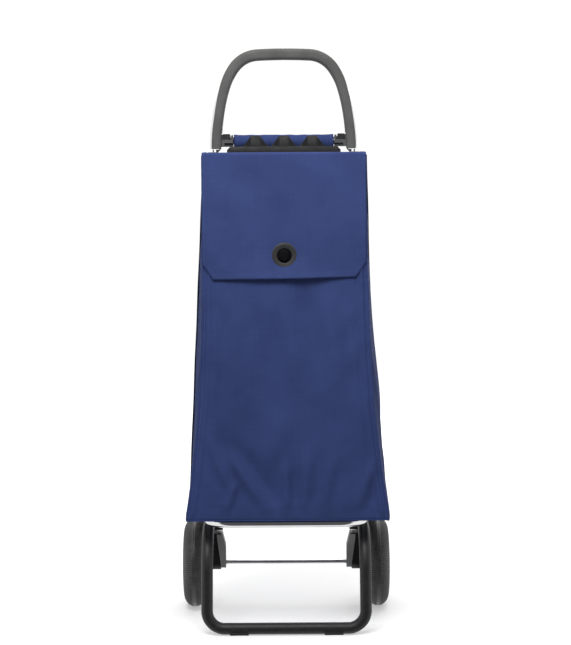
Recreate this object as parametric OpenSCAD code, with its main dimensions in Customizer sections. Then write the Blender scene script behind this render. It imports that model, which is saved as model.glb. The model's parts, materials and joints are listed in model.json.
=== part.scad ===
// Folding shopping trolley: an aluminium frame on two wheels with a folding foot, a folding tray,
// a fold-down handle and a hanging fabric bag with a flap.
// Millimetres, +Z up, the front faces -Y. The origin is on the floor, under the middle of the
// trolley's outer box. "Left" is -X and "right" is +X, as seen from the front.

/* [Overall] */
// Height with the handle up
overall_h = 1055; // [1045:5:1075]
// Width over the wheel caps
overall_w = 389; // [389:1:391]
// Distance from the uprights' plane to the bag's lower front edge
bag_reach = 242; // [236:2:260]
// Distance from the uprights' plane to the middle of the foot bar
foot_reach = 222; // [214:2:228]

/* [Wheels] */
// Wheel radius
wheel_r = 84; // [83:0.5:86]
// Tyre width
tyre_w = 42; // [38:1:42]
// Radius of the rim that the tyre sits on
rim_r = 62; // [56:1:66]
// Distance from the middle of the trolley to each wheel's middle plane
wheel_x = 173.5; // [173:0.5:173.5]
// Axle radius
axle_r = 4; // [3.5:0.5:5]
// Number of lightening holes in each hub
hub_holes = 6; // [4:1:8]

/* [Frame] */
// Distance from the middle of the trolley to each upright's middle
upright_x = 133.5; // [133:0.5:134]
// Width of the flat-oval upright tube, along X
upright_w = 15; // [14:0.5:15]
// Depth of the flat-oval upright tube, along Y
upright_d = 24; // [22:1:24]
// Wall of the upright and handle tubes
tube_wall = 1.5; // [1:0.1:2]
// Height of the uprights' lower end
upright_z0 = 146; // [144:1:150]
// Height of the uprights' upper end
upright_z1 = 862; // [855:1:862]

/* [Foot] */
// Foot tube radius
foot_r = 10.5; // [9:0.5:10.5]
// Distance from the middle of the trolley to each foot leg's middle
foot_x = 141; // [140:0.5:141]
// Bend radius of the foot tube's lower corners
foot_corner_r = 32; // [26:1:40]
// Bend radius between the foot's legs and its arms
foot_knee_r = 70; // [60:2:80]
// Distance of the foot's pivot in front of the uprights' plane
foot_pivot_y = 62; // [62:1:64]
// Height of the foot's pivot and arms
foot_pivot_z = 182; // [181.5:0.5:182]
// Thickness of the rubber glide under the foot tube
glide_h = 1; // [0.8:0.2:2]

/* [Tray] */
// Tray tube radius
tray_r = 8.5; // [8:0.5:8.5]
// Distance from the middle of the trolley to each tray arm's middle
tray_x = 139.5; // [139:0.5:140]
// Bend radius of the tray's front corners
tray_corner_r = 43.5; // [30:0.5:60]
// Distance of the tray's front tube middle in front of the uprights' plane
tray_reach = 223.5; // [215:0.5:224]
// Distance of the tray's pivot in front of the uprights' plane
tray_pivot_y = 40; // [40:1:42]
// Height of the tray's pivot and loop
tray_z = 204; // [204:0.5:204.5]

/* [Handle] */
// Height of the handle's hinge axis, which is the crossbar's axis too
hinge_z = 884; // [883:1:885]
// Distance of the hinge axis behind the uprights' plane
hinge_y = 18; // [18:0.5:20]
// Half width of the grip at its lower ends
grip_half_w = 134; // [134:0.5:134.5]
// Thickness of the grip seen from the front
grip_t = 19; // [18:0.5:20]
// Depth of the grip, along Y
grip_d = 28; // [28:1:30]
// Travel of each release button
button_travel = 3; // [2:0.5:3]

/* [Bag] */
// Height of the bag's floor
bag_z0 = 213.5; // [213:0.5:215]
// Height of the open rim
bag_z1 = 857; // [850:1:858]
// Half width of the front panel at its rim
bag_top_half_w = 144; // [140:1:146]
// Half width of the front panel at the floor
bag_bottom_half_w = 180; // [170:1:182]
// Half width of the back panel at its rim
back_top_half_w = 150; // [148:1:154]
// Half width of the back panel at the floor
back_bottom_half_w = 173; // [170:1:178]
// How far the front panel leans back between the floor and the rim
bag_lean = 20; // [10:1:24]
// Outward bulge of the side gussets near the floor
gusset_bulge = 8; // [0:1:10]
// Thickness of the fabric with its lining
fabric_t = 2.5; // [2:0.1:3]

/* [Flap] */
// Half width of the flap
flap_half_w = 144; // [140:1:147]
// Height of the flap's upper surface at its front fold
flap_z1 = 862; // [861:0.5:862]
// Height of the flap's lower edge
flap_z0 = 641; // [630:1:660]
// Size of the flap's cut corners, across and up
flap_chamfer = [19, 27]; // [10:1:30]
// Height of the eyelet's centre
eyelet_z = 681; // [670:1:690]
// Outer radius of the eyelet ring
eyelet_r = 22.5; // [20:0.5:24]
// Radius of the eyelet's hole
eyelet_hole_r = 12; // [11:0.5:13]

/* [Hidden] */
$fn = 48;

// The uprights' plane, set so that the outer box is centred on the origin
frame_y = (bag_reach - wheel_r) / 2;
// Fits: running clearance on a radius, and the gap between moving faces
running_gap = 0.05;
face_gap = 0.3;

// Side bracket: inner ear, knuckle space, outer ear
ear_in = [120, 129];
knuckle = [129.4, 152.6];
ear_out = [153, 158];
bracket_top = tray_z + 8;
pivot_pin_r = 4;
stop_plate_t = 2.4;
stop_plate_y = [-92, -77];
stop_plate_z = [foot_pivot_z + foot_r + face_gap, foot_pivot_z + foot_r + face_gap + stop_plate_t];
foot_knuckle_r = 12;
tray_knuckle_r = 8.8;
bolt_r = 2.5;
bolt_head_r = 4.5;
bolt_head_h = 3;
nut_r = 4.6;
bolt_z = 166;
rivet_r = 2;
rivet_head_r = 3.6;
rivet_z = 842;
// Socket round the upright, and the shoulder between the two ears
socket_x = [ear_in[0], 146];
socket_y = [-22, 18];
socket_z0 = 150;
shoulder_y = [-20, 4];
shoulder_z0 = 174;

// Axle support and its outer cheek
support_collar_z = 141;
support_x = [114.8, 124.2];
support_d = 22;
support_front_y = -17;
support_foot_z = 77.5;
cheek_x = [124.5, 141];
cheek_r = 14;
cheek_top = 140.8;
axle_end = wheel_x + 18;
spacer_r = 7.5;
clip_r = 8;
clip_t = 1;

// Handle hinge
block = [95, 120];
flange_t = 1.2;
plug_z0 = 822;
web_top = 867.9;
shelf_top = 886.6;
hinge_block_r = 11;
crossbar_r = 10;
crossbar_end = 112;
hinge_pin_r = 5;
handle_z0 = 868.5;
lug = [121, 134];
lug_r = 13;
handle_end_y = [-14, 14];
end_top = 898;
catch_y = -1;
catch_z = 891.5;
catch_r = 3;
button_wall = 97;
button = [button_wall + button_travel + 0.5, 114];
button_y = [-6, 3.5];
button_z = [887, 897];
catch_end = 118;
spring_r = 2.6;
spring_wire_r = 0.45;
spring_turns = 5;
spring_x = [button_wall + 0.6, 106.4];

// Handle arch: each side is a leg, a shoulder and a corner arc, and one crown arc joins them.
// The angles count from the leg's foot to the end of each arc.
leg_end = 16;
leg_lean = 17;
shoulder_end = 34;
corner_end = 87;
shoulder_r = 124;
corner_r = 67;
// Rise of the grip's outer edge, measured on the shoulder and corner; the leg arc takes the rest
crown_half = grip_half_w - leg_lean - shoulder_r * (cos(leg_end) - cos(shoulder_end))
    - corner_r * (cos(shoulder_end) - cos(corner_end));
crown_r = crown_half / cos(corner_end);
upper_rise = shoulder_r * (sin(shoulder_end) - sin(leg_end))
    + corner_r * (sin(corner_end) - sin(shoulder_end)) + crown_r * (1 - sin(corner_end));
leg_r = leg_lean / (1 - cos(leg_end));
arch_z0 = overall_h - upper_rise - leg_r * sin(leg_end);
// The aluminium leg tube: outer half width at its foot, and its own arc
rim_half_w = 139;
rim_r_leg = 345;
rim_leg_end = 24.9;

// Bag
bag_h = bag_z1 - bag_z0;
back_y = -16.5;
hanger_z = [861, 871];
tooth_z = 894;
teeth_x = [-53, 0, 53];
sleeve_r = 12.5;
sleeve_end = 93.5;
lean_angle = atan(bag_lean / bag_h);
flap_hinge_y = -14;

// ---------- helpers ----------

// Moves a shape from the uprights' plane into the trolley's frame
module in_frame() translate([0, frame_y, 0]) children();

// A right-hand shape at side = 1, its mirror image at side = -1
module on_side(side) in_frame() scale_side(side) children();

module scale_side(side) {
    if (side > 0) children();
    else mirror([1, 0, 0]) children();
}

module both_sides() for (side = [-1, 1]) scale_side(side) children();

// Rods along X, Y and Z
module rod_x(r, x, y, z) translate([x[0], y, z]) rotate([0, 90, 0]) cylinder(r = r, h = x[1] - x[0]);
module rod_y(r, x, y, z) translate([x, y[1], z]) rotate([90, 0, 0]) cylinder(r = r, h = y[1] - y[0]);
module rod_z(r, x, y, z) translate([x, y, z[0]]) cylinder(r = r, h = z[1] - z[0]);

// An outline in (y, z) drawn out along X, and one in (x, z) drawn out along Y
module slab_x(x, points) translate([x[0], 0, 0]) rotate([90, 0, 90])
    linear_extrude(x[1] - x[0]) polygon(points);
module slab_y(y, points) translate([0, y[1], 0]) rotate([90, 0, 0])
    linear_extrude(y[1] - y[0]) polygon(points);
module slab_z(z, points) translate([0, 0, z[0]]) linear_extrude(z[1] - z[0]) polygon(points);
module block_xyz(x, y, z) translate([x[0], y[0], z[0]]) cube([x[1] - x[0], y[1] - y[0], z[1] - z[0]]);

// A flat oval: w across, d deep
module flat_oval(w, d) {
    square([w, d - w], center = true);
    for (s = [-1, 1]) translate([0, s * (d - w) / 2]) circle(d = w);
}

// A round tube's bend of radius bend_r from angle a0 to a1, in the XY plane
module bend(bend_r, r, a0, a1) rotate([0, 0, a0]) rotate_extrude(angle = a1 - a0, $fn = 96)
    translate([bend_r, 0]) circle(r = r, $fn = 48);
module yz_plane(y, z) translate([0, y, z]) rotate([90, 0, 90]) children();
module xz_plane(x, z) translate([x, 0, z]) rotate([90, 0, 0]) children();

// ---------- frame ----------

module upright(side) color("silver") on_side(side) difference() {
    translate([upright_x, 0, upright_z0]) linear_extrude(upright_z1 - upright_z0) difference() {
        flat_oval(upright_w, upright_d);
        flat_oval(upright_w - 2 * tube_wall, upright_d - 2 * tube_wall);
    }
    rod_y(bolt_r, upright_x, [-20, 20], bolt_z);
    rod_y(rivet_r, upright_x, [-20, 20], rivet_z);
}

// Side outline of the bracket's ears, from the uprights' front towards the foot
function ear_outline(bottom_rear, y_rear) = [
    [y_rear, bottom_rear], [y_rear, bracket_top], [-tray_pivot_y - 6, bracket_top],
    [stop_plate_y[0] - 3, 199], [stop_plate_y[0] - 3, 188], [-foot_pivot_y - 9, 172]
];

module bracket(side) color([0.16, 0.16, 0.17]) on_side(side) difference() {
    union() {
        block_xyz(socket_x, socket_y, [socket_z0, bracket_top]);
        block_xyz([socket_x[1], ear_out[1]], shoulder_y, [shoulder_z0, bracket_top]);
        slab_x(ear_in, ear_outline(162, -21));
        slab_x(ear_out, ear_outline(172, -19));
        block_xyz([ear_in[1], ear_out[0]], stop_plate_y, stop_plate_z);
    }
    translate([upright_x, 0, socket_z0 - 1]) linear_extrude(100) flat_oval(upright_w, upright_d);
    rod_x(pivot_pin_r, [110, 170], -foot_pivot_y, foot_pivot_z);
    rod_x(pivot_pin_r, [110, 170], -tray_pivot_y, tray_z);
    rod_y(bolt_r, upright_x, [-30, 30], bolt_z);
}

// Grey moulding: a plug inside the upright, a leg down to the axle, and a slanting front face
module axle_support(side) color([0.45, 0.46, 0.47]) on_side(side) difference() {
    union() {
        translate([upright_x, 0, upright_z0]) linear_extrude(40)
            flat_oval(upright_w - 2 * tube_wall, upright_d - 2 * tube_wall);
        translate([upright_x, 0, support_collar_z]) linear_extrude(upright_z0 - support_collar_z)
            flat_oval(upright_w, upright_d);
        block_xyz([121, cheek_x[1]], [-support_d / 2, support_d / 2],
            [support_collar_z, support_collar_z + 2]);
        slab_y([-cheek_r - 1, support_d / 2], [
            [121, support_collar_z + 2], [support_x[1], support_collar_z + 2], [support_x[1], wheel_r],
            [support_x[0], wheel_r], [support_x[0], 118]]);
        slab_y([support_front_y, -cheek_r - 0.3], [
            [121.5, support_collar_z - 1], [131.5, support_collar_z - 1], [131.5, 135],
            [support_x[1], support_foot_z + 3], [support_x[1] - 3, support_foot_z],
            [support_x[0], support_foot_z], [support_x[0], 118]]);
        rod_x(support_d / 2, support_x, 0, wheel_r);
    }
    rod_x(axle_r, [100, 150], 0, wheel_r);
    rod_y(bolt_r, upright_x, [-30, 30], bolt_z);
}

// Black outer cheek, which carries the axle beside the wheel
module axle_cheek(side) color([0.1, 0.1, 0.11]) on_side(side) difference() {
    union() {
        block_xyz(cheek_x, [-cheek_r, cheek_r], [wheel_r, cheek_top]);
        rod_x(cheek_r, cheek_x, 0, wheel_r);
    }
    rod_x(axle_r, [100, 150], 0, wheel_r);
}

module axle() color("lightgray") in_frame()
    rod_x(axle_r, [-axle_end, axle_end], 0, wheel_r);

module axle_spacers() color("gray") in_frame() both_sides() difference() {
    rod_x(spacer_r, [cheek_x[1] + 0.2, hub_x[0] - face_gap], 0, wheel_r);
    rod_x(axle_r, [130, 170], 0, wheel_r);
}

module axle_clips() color("lightgray") in_frame() both_sides() difference() {
    rod_x(clip_r, [hub_x[1] + face_gap, hub_x[1] + face_gap + clip_t], 0, wheel_r);
    rod_x(axle_r, [180, 200], 0, wheel_r);
}

// Cross bolts through the bracket, the upright and the plug
module bracket_bolts() color("lightgray") in_frame() both_sides() {
    rod_y(bolt_r, upright_x, [socket_y[0], socket_y[1] + 2.5], bolt_z);
    rod_y(bolt_head_r, upright_x, [socket_y[0] - bolt_head_h, socket_y[0]], bolt_z);
    translate([upright_x, socket_y[1] + 4, bolt_z]) rotate([90, 0, 0])
        cylinder(r = nut_r, h = 4, $fn = 6);
}

// Rivets through the uprights' upper ends and the hinge bases' plugs
module upright_rivets() color("lightgray") in_frame() both_sides() {
    rod_y(rivet_r, upright_x, [-12, 12], rivet_z);
    for (y = [[-13.2, -12], [12, 13.2]]) rod_y(rivet_head_r, upright_x, y, rivet_z);
}

// A headed pivot pin through both ears
module pivot_pin(y, z) {
    rod_x(pivot_pin_r, [ear_in[0], ear_out[1]], y, z);
    rod_x(6, [ear_in[0] - 2.5, ear_in[0]], y, z);
    rod_x(5.5, [ear_out[1], ear_out[1] + 1.5], y, z);
}
module tray_pivot_pins() color("lightgray") in_frame() both_sides() pivot_pin(-tray_pivot_y, tray_z);
module foot_pivot_pins() color("lightgray") in_frame() both_sides() pivot_pin(-foot_pivot_y, foot_pivot_z);

// ---------- handle hinge ----------

// Plug in the upright, thin flange, rest under the handle's end, and a web that slants inward and up
// to the block that holds the crossbar
module hinge_base(side) color([0.3, 0.3, 0.31]) on_side(side) difference() {
    union() {
        translate([upright_x, 0, plug_z0]) linear_extrude(upright_z1 - plug_z0)
            flat_oval(upright_w - 2 * tube_wall, upright_d - 2 * tube_wall);
        block_xyz([126.2, 140.8], [-11.8, 11.8], [upright_z1, upright_z1 + flange_t]);
        block_xyz([131, 133], [-8, 8], [upright_z1, web_top]);
        slab_y([-8, 13], [
            [124, upright_z1], [126.6, upright_z1], [126.6, web_top], [120.4, web_top],
            [120.4, hinge_z - 2], [111, hinge_z - 2], [111, 876], [118.2, 875], [118.2, 868.4],
            [121.6, 864.4]]);
        rod_x(hinge_block_r, block, hinge_y, hinge_z);
        block_xyz([114.5, block[1]], [-6, 12], [hinge_z, 896]);
        block_xyz([block[0], button_wall], [-6, 12], [hinge_z, 895]);
        block_xyz(block, [-6, 12], [hinge_z - 4, shelf_top]);
    }
    rod_x(crossbar_r, [90, crossbar_end], hinge_y, hinge_z);
    rod_x(hinge_pin_r, [90, 130], hinge_y, hinge_z);
    rod_x(catch_r + running_gap, [112, 130], catch_y, catch_z);
    rod_y(rivet_r, upright_x, [-30, 30], rivet_z);
}

module hinge_pins() color("lightgray") in_frame() both_sides() {
    rod_x(hinge_pin_r, [102, 134.2], hinge_y, hinge_z);
    rod_x(6, [134.2, 136.2], hinge_y, hinge_z);
}

module crossbar() color("silver") in_frame() difference() {
    rod_x(crossbar_r, [-crossbar_end, crossbar_end], hinge_y, hinge_z);
    rod_x(crossbar_r - 2, [-130, 130], hinge_y, hinge_z);
}

// Thumb button with its catch rod; pressing it inward draws the rod back
module release_button(side) color([0.2, 0.2, 0.21]) on_side(side) {
    difference() {
        block_xyz(button, button_y, button_z);
        rod_x(spring_r + 0.8, [button[0] - 1, 107], catch_y, catch_z);
    }
    rod_x(catch_r, [button[1], catch_end], catch_y, catch_z);
}

// Coil spring between the base's inner wall and the button's pocket
function coil_point(k, steps, x0, x1) =
    let (turn = 360 * spring_turns * k / steps)
    [x0 + (x1 - x0) * k / steps, spring_r * cos(turn), spring_r * sin(turn)];
module button_spring(side) color("lightgray") on_side(side) translate([0, catch_y, catch_z]) {
    steps = 12 * spring_turns;
    ring = 6;
    points = [for (k = [0:steps], j = [0:ring - 1])
        let (p = coil_point(k, steps, spring_x[0], spring_x[1]), turn = 360 * spring_turns * k / steps,
             a = 360 * j / ring, r = spring_r + spring_wire_r * cos(a))
        [p[0] + spring_wire_r * sin(a), r * cos(turn), r * sin(turn)]];
    sides = [for (k = [0:steps - 1], j = [0:ring - 1])
        let (n = (j + 1) % ring) [k * ring + j, k * ring + n, (k + 1) * ring + n, (k + 1) * ring + j]];
    caps = [[for (j = [ring - 1:-1:0]) j], [for (j = [0:ring - 1]) steps * ring + j]];
    polyhedron(points, concat(sides, caps), convexity = 10);
}

// ---------- handle ----------

// One side of an arch as solid arcs. half_w and z0 place its outer edge's foot; the profile's
// middle runs inset mm inside that edge.
module arch_arc(cx, cz, r, a0, a1, w, d) if (a1 > a0) xz_plane(cx, cz)
    rotate([0, 0, a0]) rotate_extrude(angle = a1 - a0, $fn = 180) translate([r - w / 2, 0])
        flat_oval(w, d);

// A hairline collar over the meeting of two arcs, which makes them one solid
module arch_joint(cx, cz, r, a, w, d) xz_plane(cx, cz) rotate([0, 0, a]) translate([r - w / 2, 0])
    rotate([90, 0, 0]) linear_extrude(0.8, center = true) flat_oval(w + 0.1, d + 0.1);

module grip_arch() {
    w = grip_t;
    d = grip_d;
    c1 = [grip_half_w - leg_r, arch_z0];
    p1 = [c1[0] + leg_r * cos(leg_end), c1[1] + leg_r * sin(leg_end)];
    c2 = [p1[0] - shoulder_r * cos(leg_end), p1[1] - shoulder_r * sin(leg_end)];
    p2 = [c2[0] + shoulder_r * cos(shoulder_end), c2[1] + shoulder_r * sin(shoulder_end)];
    c3 = [p2[0] - corner_r * cos(shoulder_end), p2[1] - corner_r * sin(shoulder_end)];
    first = asin((end_top - arch_z0) / (leg_r - grip_t / 2));
    both_sides() {
        arch_arc(c1[0], c1[1], leg_r, first, leg_end, w, d);
        arch_joint(c1[0], c1[1], leg_r, leg_end, w, d);
        arch_arc(c2[0], c2[1], shoulder_r, leg_end, shoulder_end, w, d);
        arch_joint(c2[0], c2[1], shoulder_r, shoulder_end, w, d);
        arch_arc(c3[0], c3[1], corner_r, shoulder_end, corner_end, w, d);
        arch_joint(c3[0], c3[1], corner_r, corner_end, w, d);
    }
    arch_arc(0, overall_h - crown_r, crown_r, corner_end, 180 - corner_end, w, d);
}

// The leg tube that shows as a bright rim outside the grip
module leg_tube_solid(wall) arch_arc(rim_half_w - rim_r_leg, handle_z0 + 0.5, rim_r_leg - wall, 0,
    rim_leg_end, upright_w - 2 * wall, upright_d - 2 * wall);

module handle_tube(side) color("silver") on_side(side) difference() {
    leg_tube_solid(0);
    leg_tube_solid(tube_wall);
}

module handle_grip() color([0.36, 0.36, 0.36]) in_frame() difference() {
    grip_arch();
    both_sides() leg_tube_solid(0);
}

// Dark end piece around the leg tube's foot, with the hinge lug behind it
module handle_end(side) color([0.32, 0.32, 0.33]) on_side(side) difference() {
    union() {
        block_xyz(lug, handle_end_y, [handle_z0, end_top]);
        rod_x(lug_r, lug, hinge_y, hinge_z);
    }
    leg_tube_solid(0);
    grip_arch();
    rod_x(hinge_pin_r + running_gap, [100, 140], hinge_y, hinge_z);
    rod_x(catch_r + 0.3, [lug[0] - 1, lug[0] + 3.5], catch_y, catch_z);
}

// ---------- bag ----------

// Half widths of the front and back panels, the gusset between them (t = 0 at the front, 1 at
// the back), and the front panel's place, all against the height
function drop(z) = (bag_z1 - z) / bag_h;
function front_half_w(z) = bag_top_half_w + (bag_bottom_half_w - bag_top_half_w) * pow(drop(z), 3.2);
function back_half_w(z) = back_top_half_w + (back_bottom_half_w - back_top_half_w) * drop(z);
function front_y(z) = -bag_reach + bag_lean * (1 - drop(z));
function gusset_x(z, t) = front_half_w(z) * (1 - t) + back_half_w(z) * t
    + gusset_bulge * pow(drop(z), 0.8) * 4 * t * (1 - t);
bag_levels = [for (k = [0:8]) bag_z0 + bag_h * k / 8];

// A closed sheet between two grids of points, rows by columns
module sheet(outer, inner, columns) {
    rows = len(outer) / columns;
    n = len(outer);
    function quad(a, b, c, d) = [[a, b, c], [a, c, d]];
    skin = [for (i = [0:rows - 2], j = [0:columns - 2])
        let (a = i * columns + j) each concat(
            quad(a, a + 1, a + columns + 1, a + columns),
            quad(n + a, n + a + columns, n + a + columns + 1, n + a + 1))];
    ends = [for (j = [0:columns - 2]) let (t = n - columns + j) each concat(
        quad(j, n + j, n + j + 1, j + 1), quad(t, t + 1, n + t + 1, n + t))];
    edges = [for (i = [0:rows - 2]) let (a = i * columns, b = a + columns - 1) each concat(
        quad(a, a + columns, n + a + columns, n + a), quad(b, n + b, n + b + columns, b + columns))];
    polyhedron(concat(outer, inner), concat(skin, ends, edges), convexity = 4);
}

module bag_gusset(side) color([0.18, 0.24, 0.44]) on_side(side) {
    columns = 7;
    outer = [for (z = bag_levels, j = [0:columns - 1]) let (t = j / (columns - 1))
        [gusset_x(z, t), front_y(z) * (1 - t) + (back_y - fabric_t) * t, z]];
    inner = [for (p = outer) [p[0] - fabric_t, p[1], p[2]]];
    sheet(outer, inner, columns);
}

module panel_outline(half_width_at) polygon(concat(
    [for (z = bag_levels) [half_width_at(z), z]],
    [for (k = [8:-1:0]) [-half_width_at(bag_levels[k]), bag_levels[k]]]));

module bag_front() color([0.2, 0.26, 0.46]) in_frame()
    translate([0, -bag_reach, bag_z0]) rotate([-lean_angle, 0, 0]) translate([0, 0, -bag_z0])
        rotate([90, 0, 0]) translate([0, 0, -fabric_t]) linear_extrude(fabric_t)
            panel_outline(function(z) front_half_w(z) - fabric_t - 0.2);

module bag_back() color([0.16, 0.21, 0.4]) in_frame() {
    translate([0, back_y, 0]) rotate([90, 0, 0]) linear_extrude(fabric_t)
        panel_outline(function(z) back_half_w(z));
    block_xyz([-104, 104], [back_y - fabric_t, back_y], [bag_z1, hanger_z[1] - 2]);
}

module bag_floor() color([0.16, 0.21, 0.4]) in_frame() slab_z([bag_z0, bag_z0 + 1.4], [
    [-bag_bottom_half_w + 5, front_y(bag_z0) + 3], [bag_bottom_half_w - 5, front_y(bag_z0) + 3],
    [back_bottom_half_w - 5, back_y - 3], [-back_bottom_half_w + 5, back_y - 3]]);

// Comb-shaped hanger in front of the crossbar
module bag_hanger() color([0.12, 0.12, 0.13]) in_frame() {
    block_xyz([-106, 106], [back_y, 4.5], hanger_z);
    for (x = teeth_x) slab_y([-1, 5], [
        [x - 22.5, hanger_z[1]], [x + 22.5, hanger_z[1]], [x + 9.5, tooth_z - 1.5],
        [x + 7.5, tooth_z], [x - 7.5, tooth_z], [x - 9.5, tooth_z - 1.5]]);
}

// The bag's fabric loop round the crossbar
module crossbar_sleeve() color([0.2, 0.26, 0.46]) in_frame() difference() {
    rod_x(sleeve_r, [-sleeve_end, sleeve_end], hinge_y, hinge_z);
    rod_x(crossbar_r, [-100, 100], hinge_y, hinge_z);
}

// Knob on the front panel, behind the flap's eyelet
module closure_knob() color([0.08, 0.08, 0.09]) in_frame() leaning() {
    rod_y(16, 0, [-1, 0], eyelet_z);
    rod_y(8, 0, [-3.4, -1], eyelet_z);
}

// Shapes drawn against the front panel's own plane (y = 0), at their real height
module leaning() translate([0, -bag_reach, bag_z0]) rotate([-lean_angle, 0, 0])
    translate([0, 0, -bag_z0]) children();

// ---------- flap ----------

flap_t = 2;
flap_back = -2.2;
module flap_outline() polygon([
    [-flap_half_w, flap_z1 - 2], [-flap_half_w, flap_z0 + flap_chamfer[1]],
    [-flap_half_w + flap_chamfer[0], flap_z0], [flap_half_w - flap_chamfer[0], flap_z0],
    [flap_half_w, flap_z0 + flap_chamfer[1]], [flap_half_w, flap_z1 - 2]]);

module flap_front() color([0.22, 0.28, 0.48]) in_frame() difference() {
    leaning() translate([0, flap_back, 0]) rotate([90, 0, 0]) linear_extrude(flap_t) flap_outline();
    leaning() rod_y(eyelet_hole_r + 1.5, 0, [-20, 10], eyelet_z);
}

module flap_top() color([0.22, 0.28, 0.48]) in_frame() {
    y_front = front_y(flap_z1) + flap_back - flap_t;
    block_xyz([-flap_half_w, flap_half_w], [y_front, flap_hinge_y - 6], [flap_z1 - flap_t, flap_z1]);
}

module eyelet_ring() color([0.25, 0.25, 0.26]) in_frame() leaning()
    translate([0, flap_back - flap_t, eyelet_z]) rotate([90, 0, 0])
        rotate_extrude($fn = 96) polygon([
            [eyelet_hole_r, -flap_t], [eyelet_hole_r + 1.5, -flap_t], [eyelet_hole_r + 1.5, 0],
            [eyelet_r, 0], [eyelet_r, 1.4], [eyelet_r - 2.5, 2.8], [eyelet_hole_r + 2.5, 2.8],
            [eyelet_hole_r, 1.4]]);

module eyelet_washer() color([0.2, 0.2, 0.21]) in_frame() leaning() difference() {
    rod_y(eyelet_r - 2, 0, [flap_back, flap_back + 0.9], eyelet_z);
    rod_y(eyelet_hole_r, 0, [-20, 10], eyelet_z);
}

// ---------- tray ----------

module tray_path(r) {
    both_sides() {
        rod_y(r, tray_x, [-tray_reach + tray_corner_r, -tray_pivot_y - 16], tray_z);
        translate([tray_x - tray_corner_r, -tray_reach + tray_corner_r, tray_z])
            bend(tray_corner_r, r, -90, 0);
    }
    rod_x(r, [-tray_x + tray_corner_r, tray_x - tray_corner_r], -tray_reach, tray_z);
}

module tray_loop() color("gainsboro") in_frame() difference() {
    tray_path(tray_r);
    tray_path(tray_r - tube_wall);
}

module tray_knuckles() color([0.12, 0.12, 0.13]) in_frame() both_sides() difference() {
    union() {
        rod_x(tray_knuckle_r, knuckle, -tray_pivot_y, tray_z);
        rod_y(tray_r, tray_x, [-tray_pivot_y - 16, -tray_pivot_y], tray_z);
        rod_y(tray_r - tube_wall, tray_x, [-tray_pivot_y - 46, -tray_pivot_y - 16], tray_z);
    }
    rod_x(pivot_pin_r + running_gap, [110, 170], -tray_pivot_y, tray_z);
}

// Stiff board inside the bag; it lies on the tray and folds up with it
module bag_base_board() color("dimgray") in_frame() {
    slab_z([bag_z0 + 1.6, bag_z0 + 4.6], [
        [-168, -tray_reach - 8], [168, -tray_reach - 8], [166, -54], [112, -54],
        [112, -30], [-112, -30], [-112, -54], [-166, -54]]);
}

// ---------- foot ----------

module foot_path(r) {
    bar_z = glide_h + foot_r;
    knee_y = -foot_reach + foot_knee_r;
    both_sides() {
        rod_y(r, foot_x, [knee_y, -foot_pivot_y - 16], foot_pivot_z);
        translate([foot_x, 0, 0]) yz_plane(knee_y, foot_pivot_z - foot_knee_r)
            bend(foot_knee_r, r, 90, 180);
        rod_z(r, foot_x, -foot_reach, [bar_z + foot_corner_r, foot_pivot_z - foot_knee_r]);
        translate([0, -foot_reach, 0]) xz_plane(foot_x - foot_corner_r, bar_z + foot_corner_r)
            bend(foot_corner_r, r, -90, 0);
    }
    rod_x(r, [-foot_x + foot_corner_r, foot_x - foot_corner_r], -foot_reach, bar_z);
}

module foot_tube() color([0.2, 0.2, 0.21]) in_frame() difference() {
    foot_path(foot_r);
    foot_path(foot_r - 2);
}

module foot_knuckles() color([0.12, 0.12, 0.13]) in_frame() both_sides() difference() {
    union() {
        rod_x(foot_knuckle_r, knuckle, -foot_pivot_y, foot_pivot_z);
        rod_y(foot_r, foot_x, [-foot_pivot_y - 16, -foot_pivot_y], foot_pivot_z);
        rod_y(foot_r - 2, foot_x, [-foot_pivot_y - 46, -foot_pivot_y - 16], foot_pivot_z);
    }
    rod_x(pivot_pin_r + running_gap, [110, 170], -foot_pivot_y, foot_pivot_z);
}

// Rubber saddles under the foot bar
module foot_glides() color([0.05, 0.05, 0.05]) in_frame() both_sides() difference() {
    translate([0, -foot_reach, 0]) {
        rod_x(foot_r + glide_h, [68, 102], 0, foot_r + glide_h);
        block_xyz([68, 102], [-6, 6], [0, 3]);
    }
    translate([0, -foot_reach, 0]) rod_x(foot_r, [60, 110], 0, foot_r + glide_h);
    block_xyz([60, 110], [-foot_reach - 20, -foot_reach + 20], [7, 30]);
}

// ---------- wheels ----------

hub_x = [wheel_x - 18, wheel_x + 16];

// A wheel part's section (radius, distance from the wheel's middle plane) turned about the axle
module turned(side, points) on_side(side) translate([wheel_x, 0, wheel_r]) rotate([0, 90, 0])
    rotate_extrude($fn = 120) polygon(points);

// Section of the tyre: the outer part of an ellipse, cut off at the rim
module tyre(side) color([0.09, 0.09, 0.09]) {
    section_h = 34;
    rim_angle = asin((rim_r - wheel_r + section_h) / section_h);
    turned(side, [for (k = [0:20]) let (a = rim_angle + (180 - 2 * rim_angle) * k / 20)
        [wheel_r - section_h + section_h * sin(a), tyre_w / 2 * cos(a)]]);
}

module wheel_hub(side) color([0.3, 0.3, 0.31]) difference() {
    turned(side, [[bush_r, -18], [17, -18], [19, -7], [rim_r - 9, -5], [rim_r - 7, -15],
        [rim_r, -15], [rim_r, 15], [rim_r - 7, 15], [rim_r - 9, 5], [19, 7], [17, 16], [bush_r, 16]]);
    on_side(side) translate([0, 0, wheel_r]) for (k = [0:hub_holes - 1])
        rotate([360 * k / hub_holes, 0, 0]) rod_x(9.5, [140, 210], 0, 36);
}
bush_r = 7;

module wheel_bush(side) color("ivory") on_side(side) difference() {
    rod_x(bush_r, hub_x, 0, wheel_r);
    rod_x(axle_r + running_gap, [140, 210], 0, wheel_r);
}

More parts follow.
